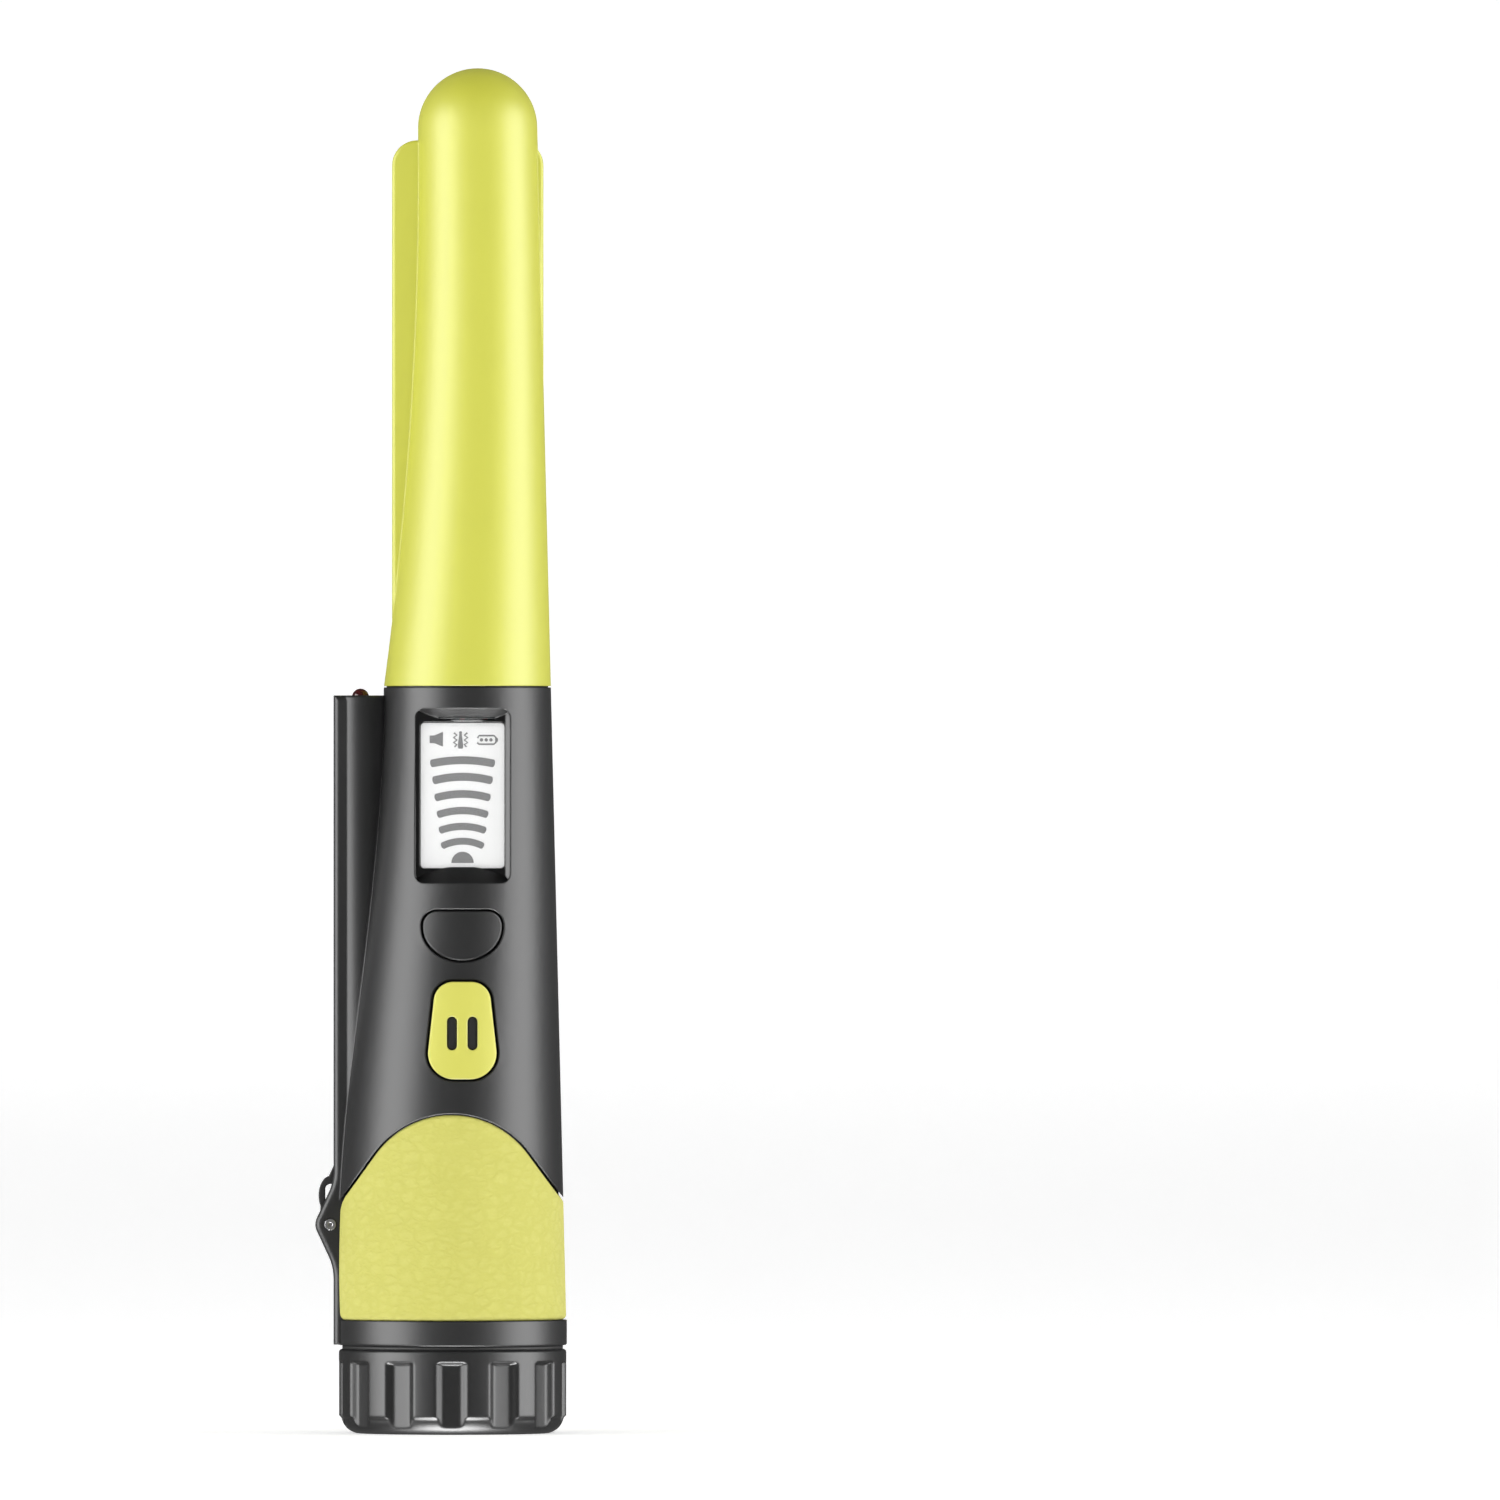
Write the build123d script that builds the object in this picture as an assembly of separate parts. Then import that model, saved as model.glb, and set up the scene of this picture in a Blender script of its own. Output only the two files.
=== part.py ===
"""Handheld metal-detecting pinpointer: a tapered probe that stands on its screw cap, in millimetres.

The axis of the cap is Z, with the nose of the probe up. The display and the keys face -Y, and the keel
that carries the lamp and the lanyard link runs along the -X side. The origin is the centre of the cap's
flat foot. The handle splits into a front and a rear shell on the plane Y = 0.
"""

from build123d import *
from math import atan, cos, radians, sin, sqrt, tan
import os

# ---------------------------------------------------------------- driving sizes
CAP_R = 20.0  # outside radius of the screw cap
CAP_H = 14.8  # height of the cap's outside
CAP_FOOT_R = 16.9  # radius of the flat foot
CAP_STEP_Z = 3.1  # the straight wall ends here with a small step
CAP_STEP_IN = 0.45
CAP_FOOT_BULGE = 0.4  # how far the lower corner bulges from a straight bevel
CAP_FLOOR = 3.0  # thickness under the battery
CAP_POCKETS = 13  # finger pockets round the cap
CAP_POCKET_W = 5.58  # width at the mouth
CAP_POCKET_FLOOR_W = 3.4
CAP_POCKET_D = 1.15
CAP_POCKET_HIGH = 12.8
CAP_GAP = 0.7  # open joint between the cap and the collar

COLLAR_R = 20.1
COLLAR_H = 4.4
HANDLE_L = 115.6  # from the collar's lower face to the seam with the tip
TIP_L = 108.9  # from the seam to the nose
GRIP_STATION_R = 19.3  # handle radius at the top of the grip
MID_STATION_R = 16.5  # handle radius below the display
SEAM_R = 14.7  # radius at the seam with the tip
TIP_MID_R = 11.7
NOSE_R = 10.5
SPINE_SLOPE = 0.0243  # the +X side is a straight line that leans in by this much
SHELL_WALL = 2.0
TIP_WALL = 2.0
SEAM_GAP = 0.25  # shadow gap between the tip and the handle
SPLIT_GAP = 0.12  # joint between the two shells, filled by the gasket

BLADE_LEFT = -10.64  # the scraping blade across the tip
BLADE_RIGHT = 15.97
BLADE_DROP = 12.7  # how far the blade's end stays below the nose
BLADE_T = 3.6
BLADE_CORNER_R = 4.4

KEEL_X = -20.9  # outer face of the keel
KEEL_T = 8.4
KEEL_EDGE_R = 1.0
KEEL_DROP = 1.4  # the keel's shoulder stays below the seam
KEEL_TUBE_X = -16.0  # the rounded bulge that houses the lamp's wires
KEEL_TUBE_R = 4.9
EAR_R = 2.65
PIN_X = -21.46
PIN_UP = 21.2  # height of the lanyard pin above the collar's lower face
PIN_R = 1.0
EAR_SLOT_W = 4.2
LINK_T = 3.8

GRIP_T = 1.3
GRIP_APEX_UP = 40.8  # top of the grip above the collar's lower face
GRIP_ARCH_R = 17.0
GRIP_ARCH_SLOPE = 54.0  # degrees
GRIP_GAP = 0.12

FACE_X = 1.85  # the display and both keys are centred here
LCD_W = 14.7
LCD_H = 25.5
LCD_UP = 96.8  # centre of the display above the collar's lower face
LCD_CORNER_R = 0.7
POCKET_D = 3.0  # depth of the display under the handle's crest
MOUTH_SIDE = 1.0  # how far the recess reaches past the display
MOUTH_OVER = 2.4
MOUTH_UNDER = 2.9
MOUTH_CORNER_R = 1.8
MOUTH_RAIL_T = 0.42  # height of the recess's sloped sides
WINDOW_T = 0.8
PANEL_T = 1.6
PANEL_BACK = POCKET_D + WINDOW_T + PANEL_T
POCKET_FLOOR_T = 1.4
MODE_UP = 72.0
MODE_HALF_W = 7.3
MODE_LOW = 6.25  # height of the round lower part
MODE_HIGH = 3.15  # height of the upper part
MODE_CORNER_R = 2.9
POWER_UP = 55.4
POWER_H = 17.9
POWER_TOP_W = 10.1
POWER_BOTTOM_W = 13.9
POWER_TOP_R = 3.8  # corners of the opening
POWER_LOW_R = 5.0
POWER_PROUD = 0.4
SLOT_W = 1.76
SLOT_L = 5.9
SLOT_PITCH = 3.6
KEY_GAP = 0.42
KEY_CAP_T = 1.2
KEY_LIP = 1.1
KEY_TRAVEL = 0.5

BATTERY_W = 26.5
BATTERY_D = 17.5
BATTERY_H = 46.4
BATTERY_CORNER_R = 2.2
BATTERY_CLEAR = 0.25
TERMINAL_H = 2.1
PAD_T = 3.0
NECK_BORE_R = 15.6
NECK_ROOT_R = 16.95
NECK_MAJOR_R = 17.5
NECK_L = 12.2  # length of the cap's neck inside the collar
THREAD_CLEAR = 0.1
SEAL_WIRE_R = 0.9
TUBE_R = 17.05  # battery tube above the thread
TUBE_CLEAR = 0.1

PCB_W = 20.0
PCB_T = 1.2
PCB_FACE_Y = -4.4
LAMP_X = -16.2
LAMP_R = 1.5
SCREW_R = 1.1
SCREW_HEAD_R = 2.0

# ---------------------------------------------------------------- levels worked out from the sizes
COLLAR_Z = CAP_H + CAP_GAP
COLLAR_TOP = COLLAR_Z + COLLAR_H
SEAM_Z = COLLAR_Z + HANDLE_L
NOSE_Z = SEAM_Z + TIP_L
KEEL_TOP = SEAM_Z - KEEL_DROP
PIN_Z = COLLAR_Z + PIN_UP
GRIP_APEX = COLLAR_Z + GRIP_APEX_UP
LCD_Z = COLLAR_Z + LCD_UP
MODE_Z = COLLAR_Z + MODE_UP
POWER_Z = COLLAR_Z + POWER_UP
BATTERY_Z = CAP_FLOOR + PAD_T
TERMINAL_Z = BATTERY_Z + BATTERY_H
CONTACT_Z = TERMINAL_Z + TERMINAL_H
CONTACT_T = 1.4
BOARD_T = 1.2
TUBE_LID_T = 1.4
TUBE_TOP = CONTACT_Z + CONTACT_T + BOARD_T + TUBE_LID_T
NECK_TOP = CAP_H + NECK_L
THREAD_LOW = COLLAR_TOP - 0.6
SHELL_LOW = NECK_TOP + 1.4  # lower edge of the two shells, hidden under the grip
GRIP_BED_R = COLLAR_R - GRIP_T - 0.15
PCB_LOW = TUBE_TOP + 2.0
PCB_HIGH = SEAM_Z - 6.2
PCB_BACK_Y = PCB_FACE_Y + PCB_T
FAR = 60.0


def radius_through(stations, z):
    """Radius at height z on the polynomial through the (height, radius) stations."""
    total = 0.0
    for i, (zi, ri) in enumerate(stations):
        term = ri
        for j, (zj, _) in enumerate(stations):
            if j != i:
                term *= (z - zj) / (zi - zj)
        total += term
    return total


HANDLE_STATIONS = [
    (COLLAR_Z, COLLAR_R),
    (COLLAR_Z + 0.325 * HANDLE_L, GRIP_STATION_R),
    (COLLAR_Z + 0.68 * HANDLE_L, MID_STATION_R),
    (SEAM_Z, SEAM_R),
]
BALL_Z = NOSE_Z - NOSE_R
TIP_STATIONS = [(SEAM_Z, SEAM_R), (SEAM_Z + 0.5 * (BALL_Z - SEAM_Z), TIP_MID_R), (BALL_Z, NOSE_R)]


def handle_r(z):
    return radius_through(HANDLE_STATIONS, z)


def tip_r(z):
    return radius_through(TIP_STATIONS, z)


def spine_x(z):
    """The straight +X side of the probe."""
    return COLLAR_R - SPINE_SLOPE * (z - COLLAR_Z)


def centre_x(z, r_of=handle_r):
    return spine_x(z) - r_of(z)


def tapered(low, high, r_of, grow=0.0, count=7):
    """The round tapered form between two levels, with its radius changed by grow."""
    levels = [low + (high - low) * i / (count - 1) for i in range(count)]
    return loft([Plane.XY.offset(z) * Pos(centre_x(z, r_of), 0) * Circle(r_of(z) + grow) for z in levels])


def handle_form(grow=0.0, low=COLLAR_Z, high=SEAM_Z):
    return tapered(low, high, handle_r, grow)


def slab(x0, x1, y0, y1, z0, z1):
    """A box between two corners."""
    return Pos((x0 + x1) / 2, (y0 + y1) / 2, (z0 + z1) / 2) * Box(x1 - x0, y1 - y0, z1 - z0)


def rod(x, y, z0, z1, r):
    """An upright cylinder."""
    return Pos(x, y, (z0 + z1) / 2) * Cylinder(r, z1 - z0)


def cross_rod(x, z, y0, y1, r):
    """A cylinder along Y."""
    return Pos(x, (y0 + y1) / 2, z) * Rot(90, 0, 0) * Cylinder(r, y1 - y0)


def through_y(sketch, x, z, y0=-FAR, y1=FAR):
    """A flat outline in X and Z, extruded along Y between two values."""
    plane = Plane(origin=(x, y0, z), x_dir=(1, 0, 0), z_dir=(0, -1, 0))
    return extrude(plane * sketch, y1 - y0, dir=(0, 1, 0))


def face_y(z, x=FACE_X, grow=0.0):
    """Y of the handle's front surface."""
    return -sqrt((handle_r(z) + grow) ** 2 - (x - centre_x(z)) ** 2)


# ---------------------------------------------------------------- tip
def nose_dome(r):
    """Upper half of the ball that ends the tip."""
    ball = Pos(centre_x(BALL_Z, tip_r), 0, BALL_Z) * Sphere(r)
    return ball & slab(-FAR, FAR, -FAR, FAR, BALL_Z, NOSE_Z + 1)


def tip_shell():
    low = SEAM_Z + SEAM_GAP
    blade_top = NOSE_Z - BLADE_DROP
    outline = Rectangle(BLADE_RIGHT - BLADE_LEFT, blade_top - low)
    outline = fillet(outline.vertices().group_by(Axis.Y)[-1], BLADE_CORNER_R)
    blade_x = (BLADE_LEFT + BLADE_RIGHT) / 2
    blade = through_y(outline, blade_x, (low + blade_top) / 2, -BLADE_T / 2, BLADE_T / 2)
    blade = fillet(blade.edges().filter_by(lambda e: abs(abs(e.center().Y) - BLADE_T / 2) < 0.01), 0.6)
    outside = tapered(low, BALL_Z, tip_r) + nose_dome(NOSE_R) + blade
    inside = tapered(low, BALL_Z, tip_r, -TIP_WALL) + nose_dome(NOSE_R - TIP_WALL)
    return outside - inside


NECK_LOW = SEAM_Z - 5.5
NECK_HIGH = SEAM_Z + 8.0
NECK_HANDLE_R = SEAM_R - SHELL_WALL - 0.15
NECK_TIP_R = tip_r(NECK_HIGH) - TIP_WALL - 0.15
NECK_BORE = NECK_TIP_R - 2.6
NECK_X = centre_x(NECK_HIGH, tip_r)
SEAL_SEAT = 1.2  # depth of the seal groove in the neck plug
NECK_SEAL_Z = SEAM_Z + 4.0


def neck_plug():
    """Ring that joins the two shells to the tip and seats the coil bobbin."""
    ring = rod(centre_x(SEAM_Z), 0, NECK_LOW, SEAM_Z, NECK_HANDLE_R)
    ring += rod(NECK_X, 0, SEAM_Z, NECK_HIGH, NECK_TIP_R)
    ring += rod(centre_x(SEAM_Z), 0, SEAM_Z, SEAM_Z + SEAM_GAP, SEAM_R - 0.5)
    ring -= rod(NECK_X, 0, NECK_LOW, NECK_HIGH, NECK_BORE)
    groove = rod(NECK_X, 0, NECK_SEAL_Z - 0.7, NECK_SEAL_Z + 0.7, NECK_TIP_R + 1)
    groove -= rod(NECK_X, 0, NECK_SEAL_Z - 0.7, NECK_SEAL_Z + 0.7, NECK_TIP_R - SEAL_SEAT)
    return ring - groove


def neck_oring():
    return Pos(NECK_X, 0, NECK_SEAL_Z) * Torus(NECK_TIP_R - SEAL_SEAT + 0.62, 0.6)


# ---------------------------------------------------------------- coil in the tip
BOBBIN_LOW = NECK_HIGH + 0.1
BOBBIN_HIGH = BALL_Z - 2.0
BOBBIN_X = (centre_x(BOBBIN_LOW, tip_r) + centre_x(BOBBIN_HIGH, tip_r)) / 2
FERRITE_R = 4.0
CORE_R = 5.0
FLANGE_R = tip_r(BOBBIN_HIGH) - TIP_WALL - (centre_x(BOBBIN_HIGH, tip_r) - BOBBIN_X) - 0.3
WINDING_R = FLANGE_R - 0.6
FLANGE_T = 1.6


def flange_levels():
    """Lower faces of the bobbin's flanges: two coils between them."""
    span = BOBBIN_HIGH - BOBBIN_LOW
    return [BOBBIN_LOW, BOBBIN_LOW + 0.3 * span, BOBBIN_LOW + 0.62 * span, BOBBIN_HIGH - FLANGE_T]


def coil_bobbin():
    body = rod(BOBBIN_X, 0, BOBBIN_LOW, BOBBIN_HIGH, CORE_R)
    for z in flange_levels():
        body += rod(BOBBIN_X, 0, z, z + FLANGE_T, FLANGE_R)
    return body - rod(BOBBIN_X, 0, BOBBIN_LOW + FLANGE_T, BOBBIN_HIGH, FERRITE_R + 0.05)


def ferrite_rod():
    return rod(BOBBIN_X, 0, BOBBIN_LOW + FLANGE_T + 0.05, BOBBIN_HIGH, FERRITE_R)


def winding(z0, z1):
    """One coil, wound on the bobbin's core between two flanges."""
    inner = CORE_R + 0.02
    coil = rod(BOBBIN_X, 0, z0 + 0.05, z1 - 0.05, WINDING_R) - rod(BOBBIN_X, 0, z0, z1, inner)
    return coil


# ---------------------------------------------------------------- handle shells
def keel_outline():
    """Side of the keel in X and Z: a straight edge with one rounded ear about the lanyard pin."""
    lean = radians(25)
    apex = PIN_X - EAR_R / cos(lean)
    reach = (KEEL_X - apex) / tan(lean)
    low = COLLAR_Z + 0.1
    points = [
        (KEEL_TUBE_X, low),
        (KEEL_X, low),
        (KEEL_X, PIN_Z - reach),
        (apex, PIN_Z),
        (KEEL_X, PIN_Z + reach),
        (KEEL_X, KEEL_TOP),
        (KEEL_TUBE_X, KEEL_TOP),
    ]
    outline = Polygon(*points, align=None)
    tip = outline.vertices().sort_by(Axis.X)[0]
    outline = fillet(tip, EAR_R)
    roots = [v for v in outline.vertices() if abs(v.X - KEEL_X) < 0.01]
    hollows = [v for v in roots if abs(abs(v.Y - PIN_Z) - reach) < 0.01]
    return fillet(hollows, 9.0)


def keel():
    """Keel plate with rounded edges, and the bulge for the lamp's wires beside it."""
    plate = through_y(keel_outline(), 0, 0, -KEEL_T / 2, KEEL_T / 2)
    rim = [
        e
        for e in plate.edges()
        if abs(abs(e.center().Y) - KEEL_T / 2) < 0.01
        and e.center().X < KEEL_TUBE_X - 0.1
        and e.center().Z > COLLAR_Z + 0.2
    ]
    plate = fillet(rim, KEEL_EDGE_R)
    bulge = rod(KEEL_TUBE_X, 0, COLLAR_Z + 0.3 * HANDLE_L, KEEL_TOP, KEEL_TUBE_R)
    bulge = fillet(bulge.edges().group_by(Axis.Z)[-1], 0.5)
    return plate + bulge


def grip_arch(gap=0.0):
    """Front outline of the grip in X and Z: a round-topped arch, lowered by gap."""
    slope = radians(GRIP_ARCH_SLOPE)
    sharp = GRIP_APEX - GRIP_ARCH_R + GRIP_ARCH_R / cos(slope) - gap / cos(slope)
    half = COLLAR_R + 6
    outline = Polygon(
        (-half, COLLAR_TOP + gap / 2),
        (half, COLLAR_TOP + gap / 2),
        (half, sharp - half * tan(slope)),
        (0, sharp),
        (-half, sharp - half * tan(slope)),
        align=None,
    )
    return fillet(outline.vertices().sort_by(Axis.Y)[-1], GRIP_ARCH_R)


def lcd_plane():
    """Plane that lies on the handle's front crest at the display, with its normal pointing out."""
    step = 5.0
    lean = atan((handle_r(LCD_Z - step) - handle_r(LCD_Z + step)) / (2 * step))
    return Plane(origin=(FACE_X, face_y(LCD_Z), LCD_Z), x_dir=(1, 0, 0), z_dir=(0, -cos(lean), sin(lean)))


def lcd_block(width, height, corner, z0, z1):
    """A rounded plate on the display's plane, from depth z0 to z1 below the crest."""
    return extrude(lcd_plane().offset(-z1) * RectangleRounded(width, height, corner), z1 - z0)


def mouth_ramp(z, run):
    """End wall of the recess: the handle's round at height z, carried inwards along a slope."""
    slope = Vector(0, POCKET_D + 0.15, run)
    level = Plane.XY.offset(z) * Pos(centre_x(z), 0) * Circle(handle_r(z))
    return extrude(level, slope.length, dir=slope.normalized())


def mouth_rail(side):
    """Sloped side wall of the recess, on the +X or -X side of the display."""
    face = lcd_plane()
    section = Plane(origin=face.origin - face.y_dir * LCD_H, x_dir=(1, 0, 0), z_dir=face.y_dir)
    outer = side * (LCD_W / 2 + MOUTH_SIDE + 0.2)
    inner = side * (LCD_W / 2 + 0.15)
    edge = POCKET_D - 1.3 * MOUTH_RAIL_T
    deep = POCKET_D + 0.2
    outline = Polygon((outer, edge), (outer, deep), (inner, deep), (inner, POCKET_D), align=None)
    return extrude(section * outline, 2 * LCD_H)


def lcd_pocket():
    """Recess with a straight-edged mouth and sloped walls, and the display's well in its floor."""
    high = LCD_H + MOUTH_OVER + MOUTH_UNDER
    middle = LCD_Z + (MOUTH_OVER - MOUTH_UNDER) / 2
    mouth = RectangleRounded(LCD_W + 2 * MOUTH_SIDE, high, MOUTH_CORNER_R)
    recess = through_y(mouth, FACE_X, middle, -FAR, 0)
    recess &= lcd_block(2 * LCD_W, 2 * LCD_H, 1.0, -FAR / 2, POCKET_D)
    recess -= mouth_ramp(middle - high / 2, MOUTH_UNDER)
    recess -= mouth_ramp(middle + high / 2, -MOUTH_OVER)
    recess -= mouth_rail(-1)
    recess -= mouth_rail(1)
    return recess + lcd_block(LCD_W + 0.2, LCD_H + 0.2, LCD_CORNER_R + 0.1, POCKET_D - 0.01, PANEL_BACK)


def lcd_boss():
    """Block of material behind the display's well, inside the front shell."""
    return Pos(0, 0, -0.6) * lcd_block(LCD_W + 3.0, LCD_H + 4.2, 1.5, -4.0, PANEL_BACK + POCKET_FLOOR_T)


CONNECTOR_W = 11.0
CONNECTOR_T = 2.2
CONNECTOR_Z = LCD_Z - 0.34 * LCD_H


def mode_outline(shrink=0.0):
    """Flat-topped, round-bottomed key."""
    a, low, high = MODE_HALF_W - shrink, MODE_LOW - shrink, MODE_HIGH - shrink
    lower = Ellipse(a, low) & Pos(0, -low / 2) * Rectangle(2 * a, low)
    upper = Pos(0, high / 2) * Rectangle(2 * a, high)
    upper = fillet(upper.vertices().group_by(Axis.Y)[-1], min(MODE_CORNER_R - shrink, high - 0.05))
    return lower + upper


MODE_AXIS_Z = MODE_Z + (MODE_LOW - MODE_HIGH) / 2


def power_outline(shrink=0.0):
    """Rounded wedge, narrower at the top."""
    high, top, bottom = POWER_H / 2 - shrink, POWER_TOP_W / 2 - shrink, POWER_BOTTOM_W / 2 - shrink
    outline = Polygon((-bottom, -high), (bottom, -high), (top, high), (-top, high), align=None)
    outline = fillet(outline.vertices().group_by(Axis.Y)[-1], POWER_TOP_R - shrink)
    return fillet(outline.vertices().group_by(Axis.Y)[0], POWER_LOW_R - shrink)


SHELL_SCREW_Z = (TUBE_TOP + 4.6, MODE_Z + 5.0)
SCREW_BOSS_R = 2.9


def shell_screw_places():
    """X and Z of the screws, two at each level, close to the wall."""
    places = []
    for z in SHELL_SCREW_Z:
        reach = handle_r(z) - SHELL_WALL - SCREW_BOSS_R + 0.5
        places += [(centre_x(z) - reach, z), (centre_x(z) + reach, z)]
    return places


PCB_POST_R = 2.0
PCB_SCREW_R = 0.8


def pcb_post_places():
    inset = PCB_W / 2 - PCB_POST_R - 0.4
    return [(FACE_X + side * inset, z) for z in (PCB_LOW + 3.0, PCB_HIGH - 3.0) for side in (-1, 1)]


def handle_outside():
    """Outer form of both shells together, with the grip's bed cut in."""
    body = handle_form() + keel()
    arch = through_y(grip_arch(), 0, 0)
    keel_side = slab(-FAR, 0, -KEEL_T / 2, KEEL_T / 2, 0, SEAM_Z)
    bed = (arch & slab(-FAR, FAR, -FAR, FAR, COLLAR_Z, SEAM_Z)) - keel_side
    bed -= rod(0, 0, COLLAR_Z - 1, SEAM_Z, GRIP_BED_R)
    body -= bed
    tail = slab(KEEL_X - 5, -GRIP_BED_R + 0.05, -KEEL_T / 2, KEEL_T / 2, COLLAR_Z, SHELL_LOW)
    upper = slab(-FAR, FAR, -FAR, FAR, SHELL_LOW, SEAM_Z)
    return body & (upper + tail)


def handle_inside():
    """Everything hollow in the shells, apart from what only the front shell has."""
    room = handle_form(-SHELL_WALL, TUBE_TOP + 0.2, SEAM_Z)
    room += rod(0, 0, SHELL_LOW - 1, TUBE_TOP + 0.2, TUBE_R + TUBE_CLEAR)
    room -= lcd_boss()
    room += rod(centre_x(SEAM_Z), 0, NECK_LOW - 0.1, SEAM_Z, NECK_HANDLE_R + 0.1)
    lamp_top = KEEL_TOP
    room += rod(LAMP_X, 0, lamp_top - 3.4, lamp_top + 1, LAMP_R + 0.95)
    room += rod(LAMP_X, 0, lamp_top - 18, lamp_top - 3.3, LAMP_R + 0.5)
    room += slab(LAMP_X - 1.2, centre_x(lamp_top) - SEAM_R + 4, -1.2, 1.2, lamp_top - 18, lamp_top - 10)
    slot_top = PIN_Z + 11.8
    slot_low = PIN_Z - 8.0
    room += slab(KEEL_X - 6, KEEL_X + 1.9, -EAR_SLOT_W / 2, EAR_SLOT_W / 2, slot_low, slot_top)
    room += cross_rod(PIN_X, PIN_Z, -KEEL_T, KEEL_T, PIN_R)
    return room


def front_shell():
    shell = handle_outside() - handle_inside()
    shell &= slab(-FAR, FAR, -FAR, -SPLIT_GAP / 2, 0, SEAM_Z)
    shell -= lcd_pocket()
    shell -= slab(
        FACE_X - CONNECTOR_W / 2 - 0.3,
        FACE_X + CONNECTOR_W / 2 + 0.3,
        -FAR,
        -1.0,
        CONNECTOR_Z - CONNECTOR_T / 2 - 0.3,
        CONNECTOR_Z + CONNECTOR_T / 2 + 0.3,
    ) & lcd_boss()
    for x, z in shell_screw_places():
        boss = cross_rod(x, z, -FAR / 2, -SPLIT_GAP / 2, SCREW_BOSS_R) & handle_form(-SHELL_WALL + 0.3)
        shell += boss
    shell -= through_y(mode_outline(), FACE_X, MODE_AXIS_Z, -FAR, 0)
    shell -= through_y(power_outline(), FACE_X, POWER_Z, -FAR, 0)
    for x, z in shell_screw_places():
        shell -= cross_rod(x, z, -6.5, 1, SCREW_R)
    return shell


def screw_head_y(x, z):
    """Depth of the screw head's seat in the rear shell."""
    return 0.62 * sqrt(handle_r(z) ** 2 - (x - centre_x(z)) ** 2)


def rear_shell():
    shell = handle_outside() - handle_inside()
    shell &= slab(-FAR, FAR, SPLIT_GAP / 2, FAR, 0, SEAM_Z)
    for x, z in shell_screw_places():
        boss = cross_rod(x, z, SPLIT_GAP / 2, FAR / 2, SCREW_BOSS_R) & handle_form(-SHELL_WALL + 0.3)
        shell += boss
    for x, z in pcb_post_places():
        post = cross_rod(x, z, PCB_BACK_Y, FAR / 2, PCB_POST_R) & handle_form(-SHELL_WALL + 0.3)
        shell += post - cross_rod(x, z, PCB_BACK_Y - 1, PCB_BACK_Y + 5, PCB_SCREW_R)
    for x, z in shell_screw_places():
        shell -= cross_rod(x, z, 0, FAR, SCREW_R + 0.1)
        shell -= cross_rod(x, z, screw_head_y(x, z), FAR, SCREW_HEAD_R + 0.15)
    return shell


def cross_recess(x, y, z, reach, depth):
    """Cross drive cut into a screw head that faces +Y."""
    arm = slab(x - reach, x + reach, y - depth, y + 1, z - 0.25, z + 0.25)
    return arm + slab(x - 0.25, x + 0.25, y - depth, y + 1, z - reach, z + reach)


def shell_screws():
    screws = []
    for x, z in shell_screw_places():
        seat = screw_head_y(x, z)
        screw = cross_rod(x, z, -6.3, seat, SCREW_R - 0.02)
        screw += cross_rod(x, z, seat, seat + 1.5, SCREW_HEAD_R)
        screws.append(screw - cross_recess(x, seat + 1.5, z, 1.2, 0.8))
    return Compound(children=[s.solid() for s in screws])


def shell_gasket():
    """Flat seal in the joint between the shells, following the wall above the battery tube."""
    sheet = slab(-FAR, FAR, -SPLIT_GAP / 2, SPLIT_GAP / 2, TUBE_TOP + 1, SEAM_Z - 7)
    sheet &= handle_form(-0.5)
    sheet -= handle_form(-SHELL_WALL)
    sheet -= slab(-FAR, 0, -1, 1, 0, SEAM_Z)
    return sheet


def grip_sleeve():
    """Soft sleeve round the lower handle, open along the keel."""
    arch = through_y(grip_arch(GRIP_GAP), 0, 0)
    body = handle_form() & arch
    body -= rod(0, 0, COLLAR_Z - 1, SEAM_Z, GRIP_BED_R + 0.05)
    return body - slab(-FAR, 0, -KEEL_T / 2 - GRIP_GAP, KEEL_T / 2 + GRIP_GAP, 0, SEAM_Z)


# ---------------------------------------------------------------- battery tube, battery and cap
def battery_outline(grow=0.0):
    return RectangleRounded(BATTERY_W + 2 * grow, BATTERY_D + 2 * grow, BATTERY_CORNER_R + grow)


def battery_tube():
    """Collar, thread socket and battery pocket in one moulding."""
    tube = rod(0, 0, COLLAR_Z, COLLAR_TOP, COLLAR_R) + rod(0, 0, COLLAR_TOP, SHELL_LOW - 0.1, GRIP_BED_R)
    tube = fillet(tube.edges().group_by(Axis.Z)[0], 0.3)
    tube += rod(0, 0, SHELL_LOW - 0.1, TUBE_TOP, TUBE_R)
    tube -= rod(0, 0, COLLAR_Z - 1, THREAD_LOW, NECK_ROOT_R + 1.35)
    tube -= rod(0, 0, COLLAR_Z, NECK_TOP + 0.3, NECK_MAJOR_R + THREAD_CLEAR)
    pocket_high = TUBE_TOP - TUBE_LID_T - NECK_TOP
    tube -= extrude(Plane.XY.offset(NECK_TOP) * battery_outline(BATTERY_CLEAR), pocket_high)
    tube -= rod(0, 0, TUBE_TOP - 3, TUBE_TOP + 1, 2.5)
    notch_x = -GRIP_BED_R + 0.05
    return tube - slab(-FAR, notch_x + 0.1, -KEEL_T / 2 - 0.1, KEEL_T / 2 + 0.1, 0, SHELL_LOW)


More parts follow.
